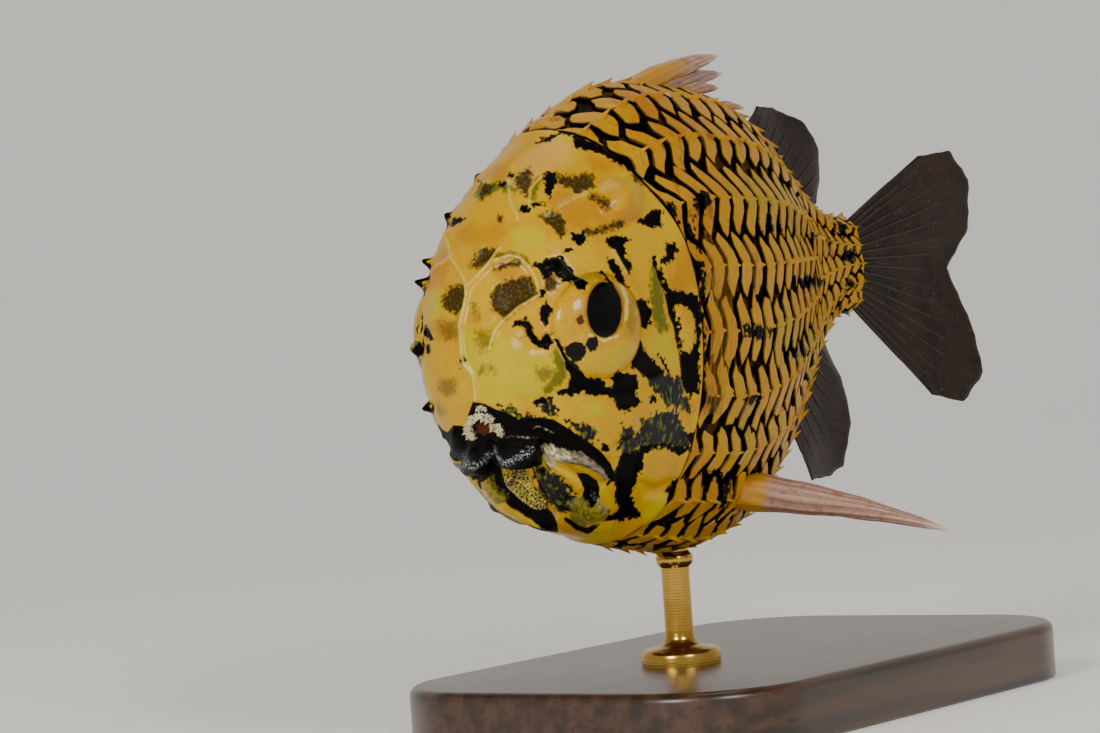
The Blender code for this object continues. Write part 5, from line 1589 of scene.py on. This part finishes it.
def make_fin(name, node, surface, rays, steps, finish=fin_finish, bones=ray_finish, thick=1.0, forks=True):
    """The skin and the rays of a fin, in place of its solid."""
    sheet = mesh_object(name + "_skin", *fin_sheet(surface, COLUMNS_PER_RAY * rays, steps), finish)
    skin_sheet = outwards(sheet)
    lines, edges, radii = [], [], []
    for first, last, low, high in ray_stretches(rays, forks):
        t = np.linspace(0, 1, BRANCH_POINTS if low else STEM_POINTS)
        way = low + (high - low) * t
        places, _ = surface(first + (last - first) * smooth(0, 1, t), way)
        start = len(lines)
        lines += list(places)
        edges += [(start + k, start + k + 1) for k in range(len(t) - 1)]
        slim = BRANCH_SLIMNESS if low else 1.0
        radii += list((RAY_ROOT + (RAY_TIP - RAY_ROOT) * way) * slim * thick)
    mesh = bpy.data.meshes.new(name + "_rays")
    mesh.from_pydata(world(np.array(lines)).tolist(), edges, [])
    obj = bpy.data.objects.new(name + "_rays", mesh)
    bpy.context.scene.collection.objects.link(obj)
    give(obj, "thick", radii)
    sizes = {"Thickness": MM, "Sides": 8}
    grow(obj, sweep_tree(bones, sizes), sizes)
    for piece in (skin_sheet, obj):
        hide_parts(node)
        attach(piece, "root")
    print(name, "rays:", rays, "faces:", len(skin_sheet.data.polygons) + len(obj.data.polygons))


# %% [markdown]
# The soft fin of the back and the fin behind the belly stand in the fish's plane of symmetry. Their roots
# follow the body's own outline, and their rims are short lines of places, walked along evenly. Between two
# rays the rim is drawn in a little, and the sheet sways from side to side towards it.

# %% The fins of back and belly
MEDIAN_SCALLOP = 0.012
# A root lies this far above the body's line, so it is just in the skin.
ROOT_LIFT = -0.03
BACK_OUTLINE, BELLY_OUTLINE = 0, 1


def median_surface(base, column, lift, rim, rays, ripple):
    """A fin in the plane of symmetry: its base along the back or belly, its rim as a line of places."""
    tip = walk(rim)

    def surface(u, v):
        behind = base[0] + (base[1] - base[0]) * u
        root = np.stack([behind, 0 * u, section(behind)[column] + lift], axis=-1)
        out = tip(u)
        end = np.stack([out[..., 0], 0 * u, out[..., 1]], axis=-1)
        scallop = 1 - MEDIAN_SCALLOP * np.abs(np.sin(math.pi * (rays - 1) * u)) * v
        sway = ripple * v * np.sin(9 * u + 2.5 * v)
        point = root + (end - root) * (v * scallop)[..., None] + np.stack([0 * u, sway, 0 * u], axis=-1)
        return point, np.broadcast_to((0.0, 1.0, 0.0), point.shape)

    return surface


SOFT_DORSAL_BASE = (43.2, 53.3)
SOFT_DORSAL_RIM = ((45.4, 16.0), (48.6, 15.9), (52.7, 14.7), (55.0, 12.2), (55.6, 9.3), (54.8, 7.2))
ANAL_BASE = (46.6, 52.6)
ANAL_RIM = ((50.2, -17.6), (54.0, -17.6), (56.4, -16.8), (57.2, -13.0), (56.6, -8.6), (54.6, -5.2))
dorsal_surface = median_surface(SOFT_DORSAL_BASE, BACK_OUTLINE, ROOT_LIFT, SOFT_DORSAL_RIM, 11, 0.3)
make_fin("dorsal_fan", "soft_dorsal_fin", dorsal_surface, 11, 22)
anal_surface = median_surface(ANAL_BASE, BELLY_OUTLINE, -ROOT_LIFT, ANAL_RIM, 10, 0.35)
make_fin("anal_fan", "anal_fin", anal_surface, 10, 22)


# %% [markdown]
# The tail fin is swung to the fish's left, as in the photograph, so its sheet is a plane turned by an angle.
# The breast fins are pressed to the flanks. Their film is nearly clear, with an orange glaze, and their few
# rays are thin and don't fork, so the plates show through.

# %% The tail fin and the breast fins
CAUDAL_RIM = (
    (9.0, 11.0), (13.2, 11.4), (15.8, 8.6), (15.6, 4.0), (12.4, 0.4),
    (14.6, -5.0), (15.4, -9.6), (12.6, -12.2), (9.0, -11.2),
)
CAUDAL_RAYS = 17
CAUDAL_SCALLOP = 0.01
CAUDAL_SINK = 0.2
CAUDAL_FROM = 0.32
CAUDAL_ROOT = (5.0, -2.0)
CAUDAL_BEND = math.radians(17)
PECTORAL_BEHIND = (20.2, 22.6)
PECTORAL_ANGLE = math.radians(116)
PECTORAL_RIM = np.array((20.0, 10.7, 5.2))
PECTORAL_RIM_REACH = np.array((3.1, 0, -2.2))
PECTORAL_LIFT = 0.3
PECTORAL_BOW = 0.75
PECTORAL_RIPPLE = 0.15


def caudal_surface(u, v):
    """The sheet of the tail fin, whose rim is measured from the end of the body."""
    along = np.array((math.cos(CAUDAL_BEND), math.sin(CAUDAL_BEND), 0))
    facing = np.array((-math.sin(CAUDAL_BEND), math.cos(CAUDAL_BEND), 0))
    out = walk(CAUDAL_RIM)(u)
    top, bottom = CAUDAL_ROOT
    root = np.stack([0 * u + BODY_END - CAUDAL_SINK, 0 * u, top + (bottom - top) * u], axis=-1)
    end = np.stack([0 * u + BODY_END + CAUDAL_FROM, 0 * u, out[..., 1]], axis=-1) + along * out[..., :1]
    scallop = 1 - CAUDAL_SCALLOP * np.abs(np.sin(math.pi * (CAUDAL_RAYS - 1) * u)) * v
    sway = 0.5 * v * v * np.sin(7 * u + 2 * v)
    point = root + (end - root) * (v * scallop)[..., None] + facing * sway[..., None]
    return point, np.broadcast_to(facing, point.shape)


def pectoral_surface(side):
    """The sheet of a breast fin: side 1 is the fish's left, and -1 its right."""

    def surface(u, v):
        behind = PECTORAL_BEHIND[0] + (PECTORAL_BEHIND[1] - PECTORAL_BEHIND[0]) * u
        angle = np.full(np.shape(u), PECTORAL_ANGLE)
        root = body(behind, angle) + body_normal(behind, angle) * PECTORAL_LIFT
        end = PECTORAL_RIM + PECTORAL_RIM_REACH * u[..., None]
        bow = PECTORAL_BOW * np.sin(math.pi * v) + PECTORAL_RIPPLE * v * np.sin(9 * u)
        point = root + (end - root) * v[..., None] + np.stack([0 * u, bow, 0 * u], axis=-1)
        mirror = np.array((1, side, 1))
        return point * mirror, np.broadcast_to((0.0, float(side), 0.0), point.shape)

    return surface


clear_film = {"IOR": 1.46, "Alpha": 0.07, "Specular IOR Level": 0.1}
fan_finish, tree, shader, place = new_finish("orange_glazed_film", 0.35, clear_film)
glaze = laid(
    tree,
    "#b07c20",
    (clouds(tree, place, 1.5, 0.35, 0.65), "#c09024"),
    (clouds(tree, place, 0.25, 0.5, 0.66, most=0.5, stretch=(2, 2, 0.4)), "#9c6420"),
)
dress(tree, shader, glaze)
thin = {"Coat Weight": 0.1, "Alpha": 0.3}
fan_bones, tree, shader, place = new_finish("orange_painted_resin_rays", 0.4, thin)
dress(tree, shader, laid(tree, "#a86c24", (clouds(tree, place, 1.0, 0.35, 0.65), "#b88c30")))

make_fin("tail_fan", "caudal_fin", caudal_surface, CAUDAL_RAYS, 34)
breast_fans = (("breast_fan_left", "pectoral_fin_left", 1), ("breast_fan_right", "pectoral_fin_right", -1))
for name, node, side in breast_fans:
    make_fin(name, node, pectoral_surface(side), 5, 30, fan_finish, fan_bones, 0.28, False)


# %% [markdown]
# The great spines of back and belly are bone, fibrous along their length. Each is lofted from a ring sunk in
# the body to its tip. Its rings are fluted: the radius swells and sinks round the spine, and that gives the
# long fibres a shadow of their own, which painted shade darkens further in each groove.

# %% Spines
# Each back spine: how far behind the snout its root lies, its tip, and its radius at the root.
DORSAL_SPINES = (
    (25.0, (39.6, 0.2, 20.4), 1.15),
    (28.6, (40.9, -0.4, 18.9), 1.0),
    (31.8, (37.2, 1.7, 17.5), 0.75),
    (34.4, (39.6, -1.7, 16.7), 0.65),
    (37.0, (41.4, 1.5, 15.7), 0.55),
    (39.4, (43.0, -1.2, 14.8), 0.5),
)
# Half the length and half the width of a root, and its height above the body.
DORSAL_FOOT = (1.3, 0.9, -1.0)
DORSAL_FLUTES = 9
DORSAL_BEND = (0, 0, 0.4)
DORSAL_TAPER = (1.0, 0.98, 0.95, 0.9, 0.83, 0.74, 0.62, 0.42, 0.12)
# How pink each back spine is, and how far along it the yellow of the back reaches.
TONES = (0.2, 0.8, 0.3, 0.7, 0.3, 0.7)
GILTS = (0.95, 0.3, 0.5, 0.3, 0.5, 0.3)
PELVIC_BEHIND = 30.6
PELVIC_ANGLE = math.radians(143)
PELVIC_RADIUS, PELVIC_TIP = 1.7, 0.12
PELVIC_FOOT = (2.1, PELVIC_RADIUS, -0.5)
PELVIC_FLUTES = 11
PELVIC_TONE, PELVIC_GILT = 0.75, 0.22
# Each belly spine: its name, its node, its side and its tip. The one on the right is raised a little more.
PELVIC_SPINES = (
    ("belly_spine_left", "pelvic_fin_left", 1, (38.6, 20.8, -21.3)),
    ("belly_spine_right", "pelvic_fin_right", -1, (38.6, -20.8, -19.5)),
)
SPINE_POINTS = 40
SPINE_RINGS = 60
FLUTE_DEPTH = 0.11
KNOTS = 0.03
TIP_ROUND = 0.6

spine_finish, tree, shader, place = new_finish("varnished_paint_on_cast_spines", 0.42, {"Coat Weight": 0.25})
flesh = laid(
    tree,
    "#a87c58",
    (clouds(tree, place, 0.8, 0.35, 0.65, detail=4.0, stretch=(0.5, 1, 1)), "#c8a890"),
    (graded(tree, "tone", 0.0, 1.0), "#a88478"),
    (clouds(tree, place, 0.5, 0.52, 0.7, most=0.6, detail=4.0, stretch=(0.35, 1, 1)), "#8a5020"),
    # Painted shade in the grooves between the flutes.
    (graded(tree, "flute_shade", 0.35, 0.65, 0.45, 0.0), "#6a4028"),
    (graded(tree, "gilt", 0.2, 0.8, 0.0, 0.95), "#be8600"),
    (graded(tree, "way", 0.86, 1.0, most=0.8), "#e4ccb8"),
)
dress(tree, shader, flesh, grains(tree, place, 0.35, 4.0, (0.4, 1, 1)), 0.08, 0.9)


def foot_ring(behind, angle, half_along, half_around, height):
    """A ring that lies on the body, raised by the height."""
    turn = np.linspace(0, 2 * math.pi, SPINE_POINTS, endpoint=False)
    per_turn = np.linalg.norm(body(behind, angle + 0.01) - body(behind, angle - 0.01)) / 0.02
    ahead = behind + half_along * np.cos(turn)
    round_body = angle + half_around / per_turn * np.sin(turn)
    return body(ahead, round_body) + body_normal(ahead, round_body) * height


def make_spine(name, root_ring, tip, radii, bend, flutes, tone, gilt, node, blend=0.12):
    """A fluted spine from a ring of the body to its tip."""
    tip = np.asarray(tip, float)
    root = root_ring.mean(axis=0)
    axis = (tip - root) / np.linalg.norm(tip - root)
    first = root_ring[0] - root
    first = first - axis * (first @ axis)
    first /= np.linalg.norm(first)
    second = np.cross(axis, first)
    if second @ (root_ring[SPINE_POINTS // 4] - root) < 0:
        second = -second
    turn = np.linspace(0, 2 * math.pi, SPINE_POINTS, endpoint=False)
    rings, ways, flute_shades = [], [], []
    for t in np.linspace(0, 1, SPINE_RINGS):
        flute = 0.5 + 0.5 * np.sin(flutes * turn + 3 * np.sin(5 * t) + 1.3 * np.sin(3 * turn))
        radius = float(np.interp(t, np.linspace(0, 1, len(radii)), radii))
        centre = root + (tip - root) * t + np.asarray(bend) * math.sin(math.pi * t)
        swell = radius * (1 - FLUTE_DEPTH * (1 - flute)) * (1 + KNOTS * math.sin(23 * t))
        circle = np.cos(turn)[:, None] * first + np.sin(turn)[:, None] * second
        round_ring = centre + swell[:, None] * circle
        share = smooth(0, blend, t)
        lifted = root_ring + (centre - root)
        rings.append(lifted + (round_ring - lifted) * share)
        ways += [t] * SPINE_POINTS
        flute_shades += list(flute)
    points = np.concatenate(rings + [[root], [rings[-1].mean(axis=0) + axis * radii[-1] * TIP_ROUND]])
    obj = outwards(mesh_object(name, points, closed_faces(SPINE_RINGS, SPINE_POINTS), spine_finish))
    ways = np.array(ways + [0, 1])
    give(obj, "way", ways)
    give(obj, "flute_shade", flute_shades + [0.5, 0.5])
    give(obj, "tone", [tone] * len(points))
    give(obj, "gilt", 1 - smooth(0.2 * gilt, gilt, ways))
    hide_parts(node)
    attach(obj, "root")
    return obj


for number, (behind, tip, radius) in enumerate(DORSAL_SPINES):
    name = f"back_spine_{number + 1}"
    root = foot_ring(behind, 0.0, *DORSAL_FOOT)
    radii = [radius * share for share in DORSAL_TAPER]
    make_spine(name, root, tip, radii, DORSAL_BEND, DORSAL_FLUTES, TONES[number], GILTS[number], "trunk")
for name, node, side, tip in PELVIC_SPINES:
    root = foot_ring(PELVIC_BEHIND, PELVIC_ANGLE, *PELVIC_FOOT) * (1, side, 1)
    radii = PELVIC_RADIUS * (1 - np.linspace(0, 1, 12)) ** 0.8 + PELVIC_TIP
    bend = (-0.6, 0.3 * side, 0.5)
    make_spine(name, root, tip, radii, bend, PELVIC_FLUTES, PELVIC_TONE, PELVIC_GILT, node)
print("spines:", len(DORSAL_SPINES) + len(PELVIC_SPINES))


# %% [markdown]
# The stand is the museum's: a rounded block of beech, stained dark and varnished satin, with a short turned
# brass rod. The block is a rounded rectangle carried up through a soft edge, and the rod is its profile
# turned round an axis.

# %% The stand
BASE_LENGTH, BASE_WIDTH, BASE_HEIGHT = 58.0, 38.0, 5.0
BASE_CORNER = 10.0
EDGE_ROUND = 0.8
FOOT_CHAMFER = 0.25
ROD_AT = 28.0
ROD_POINTS = 72
# The rod's profile, as heights and radii: its foot above the block, and its collar about the belly's line.
ROD_FOOT = ((0.0, 3.4), (0.9, 3.4), (1.15, 3.3), (1.4, 3.0), (1.6, 1.9), (1.9, 1.45), (2.4, 1.25), (3.0, 1.2))
ROD_COLLAR = ((-1.6, 1.2), (-1.3, 1.5), (-0.9, 1.6), (-0.5, 1.5), (-0.2, 1.2), (0.3, 1.2))
GROOVE_PITCH = 0.25
SHARP_FROM = math.radians(35)

satin = {"Coat Weight": 0.4, "Coat Roughness": 0.28}
wood, tree, shader, place = new_finish("stained_beech_with_satin_varnish", 0.35, satin)
# Beech has rings a millimetre or two apart, and short dark flecks two millimetres long.
stain = laid(
    tree,
    "#2a1a10",
    (clouds(tree, place, 1.6, 0.35, 0.65, detail=4.0, stretch=(0.06, 1, 1)), "#4a3020"),
    (clouds(tree, place, 0.5, 0.6, 0.7, most=0.8, detail=2.0, stretch=(0.2, 1, 1)), "#1a0f08"),
)
dress(tree, shader, stain, grains(tree, place, 0.5, 2.0, (0.2, 1, 1)), 0.03, 0.4)
brass, tree, shader, place = new_finish("turned_and_lacquered_brass", 0.22, {"Metallic": 1.0})
# The lathe leaves fine rings a tenth of a millimetre apart, drawn here at a quarter so that they show.
turning = add(tree, "ShaderNodeSeparateXYZ", {0: place}).outputs["Z"]
per_pitch = {0: turning, 1: 2 * math.pi / (GROOVE_PITCH * MM)}
lathe = add(tree, "ShaderNodeMath", per_pitch, operation="MULTIPLY").outputs[0]
grooves = add(tree, "ShaderNodeMath", {0: lathe}, operation="SINE").outputs[0]
metal = laid(tree, "#c9a24e", (clouds(tree, place, 3.0, 0.4, 0.6, detail=2.0), "#b98f3e"))
dress(tree, shader, metal, grooves, 0.006, 0.35)


def block_ring(inset, height):
    """The rounded rectangle of the base, drawn in by the inset."""
    corner = BASE_CORNER - inset
    ring = []
    for quarter, (sx, sy) in enumerate(((1, 1), (-1, 1), (-1, -1), (1, -1))):
        for turn in math.pi / 2 * (quarter + np.linspace(0, 1, 16)):
            x = sx * (BASE_LENGTH / 2 - BASE_CORNER) + corner * math.cos(turn)
            y = sy * (BASE_WIDTH / 2 - BASE_CORNER) + corner * math.sin(turn)
            ring.append((BASE_BEHIND_SNOUT + x, y, -AXIS_HEIGHT + height))
    return ring


def stack(name, rings, finish):
    """A closed solid over rings of equally many points."""
    points = np.concatenate([*rings, [np.mean(rings[0], axis=0), np.mean(rings[-1], axis=0)]])
    obj = outwards(mesh_object(name, points, closed_faces(len(rings), len(rings[0])), finish))
    obj.data.set_sharp_from_angle(angle=SHARP_FROM)
    return obj


rings = [block_ring(FOOT_CHAMFER, 0.0), block_ring(0.0, FOOT_CHAMFER)]
for turn in np.linspace(0, math.pi / 2, 9):
    inset, below_top = EDGE_ROUND * (1 - math.cos(turn)), EDGE_ROUND * (1 - math.sin(turn))
    rings.append(block_ring(inset, BASE_HEIGHT - below_top))
plinth = stack("plinth", rings, wood)
top_of_block = -AXIS_HEIGHT + BASE_HEIGHT
under_belly = float(section(ROD_AT)[1])
profile = [(top_of_block + rise, radius) for rise, radius in ROD_FOOT]
profile += [(under_belly + rise, radius) for rise, radius in ROD_COLLAR]
turns = np.linspace(0, 2 * math.pi, ROD_POINTS, endpoint=False)
rings = [[(ROD_AT + r * math.cos(a), r * math.sin(a), h) for a in turns] for h, r in profile]
rod = stack("turned_rod", rings, brass)
print("stand:", [round(side / MM, 1) for side in plinth.dimensions])


# %% [markdown]
# The fins and the spines already stand for their solids. Each of the other pieces now takes the place of its
# own and rides on the one body, because nothing of the model moves.

# %% Pieces in place of their solids
for piece, nodes, slot in (
    (skin, ("head", "lower_jaw", "trunk", "tail"), "skin"),
    (trunk_plates, ("trunk",), "scutes"),
    (tail_plates, ("tail",), "scutes"),
    (organ_grains, ("lower_jaw",), "skin"),
    (lip_tufts, ("head",), "skin"),
    (eyes[0], ("eye_left",), "eye"),
    (eyes[1], ("eye_right",), "eye"),
    (plinth, ("stand_base",), "base"),
    (rod, ("stand_rod",), "rod"),
):
    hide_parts(*nodes)
    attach(piece, "root")


# %% [markdown]
# A model like this is photographed on paper that curves up behind it, without a corner. A wide pale bowl does
# that for every view. Two small soft lamps stand before the snout and off the left flank, on either side of
# the camera, and give the varnish its highlights. A large one hangs overhead, and a fourth lights the paper.

# %% Floor and light
FLOOR_RADIUS = 0.9
BOWL_RADIUS = 1.5
BOWL_HEIGHT = 1.3
BOWL_MIDDLE = 0.008
BOWL_POINTS = 96
PAPER = "#f4f2ee"
PAPER_GLOW = 0.15

glow = {"Base Color": linear(PAPER), "Emission Color": linear(PAPER), "Emission Strength": PAPER_GLOW}
paper, tree, shader, place = new_finish("matt_backdrop_paper", 0.9, glow)
bowl = [(BOWL_MIDDLE, 0.0), (FLOOR_RADIUS * 0.5, 0.0), (FLOOR_RADIUS, 0.0)]
bowl += [
    (FLOOR_RADIUS + (BOWL_RADIUS - FLOOR_RADIUS) * math.sin(a), BOWL_HEIGHT * 0.5 * (1 - math.cos(a)))
    for a in np.linspace(0.1, math.pi / 2, 12)
]
bowl.append((BOWL_RADIUS, BOWL_HEIGHT))
turns = np.linspace(0, 2 * math.pi, BOWL_POINTS, endpoint=False)
points = np.array([(r * math.cos(a), r * math.sin(a), h) for r, h in bowl for a in turns])
mesh = bpy.data.meshes.new("backdrop")
bowl_faces = ring_faces(len(bowl), BOWL_POINTS)
bowl_faces.append(tuple(reversed(range(BOWL_POINTS))))
mesh.from_pydata(points.tolist(), [], [tuple(reversed(face)) for face in bowl_faces])
mesh.materials.append(paper)
mesh.shade_smooth()
backdrop = bpy.data.objects.new("backdrop", mesh)
bpy.context.scene.collection.objects.link(backdrop)


TRUNK_MIDDLE = (22, 0, 0)
FAR_PAPER = (1200, -900, 300)


def lamp(name, at, size, watts, chip="#ffffff", target=TRUNK_MIDDLE):
    """A square soft lamp that looks at a place of the fish, or beyond it."""
    light = bpy.data.lights.new(name, "AREA")
    light.shape = "SQUARE"
    light.size = size
    light.energy = watts
    light.color = linear(chip)[:3]
    obj = bpy.data.objects.new(name, light)
    way = Matrix.Translation(world(target)).translation - Matrix.Translation(at).translation
    obj.matrix_world = Matrix.Translation(at) @ way.to_track_quat("-Z", "Y").to_matrix().to_4x4()
    bpy.context.scene.collection.objects.link(obj)


lamp("key", (-0.42, -0.03, 0.22), 0.11, 1.1, "#fffaf2")
lamp("second", (-0.2, -0.36, 0.28), 0.11, 0.9, "#fffaf2")
lamp("top", (0.1, 0.1, 0.6), 0.3, 0.6)
lamp("wash", (0.5, 0.4, 1.0), 0.8, 3.4, target=FAR_PAPER)
sky = bpy.data.worlds.new("room")
sky.use_nodes = True
sky.node_tree.nodes["Background"].inputs["Color"].default_value = linear("#dfe3e8")
sky.node_tree.nodes["Background"].inputs["Strength"].default_value = 0.06
bpy.context.scene.world = sky
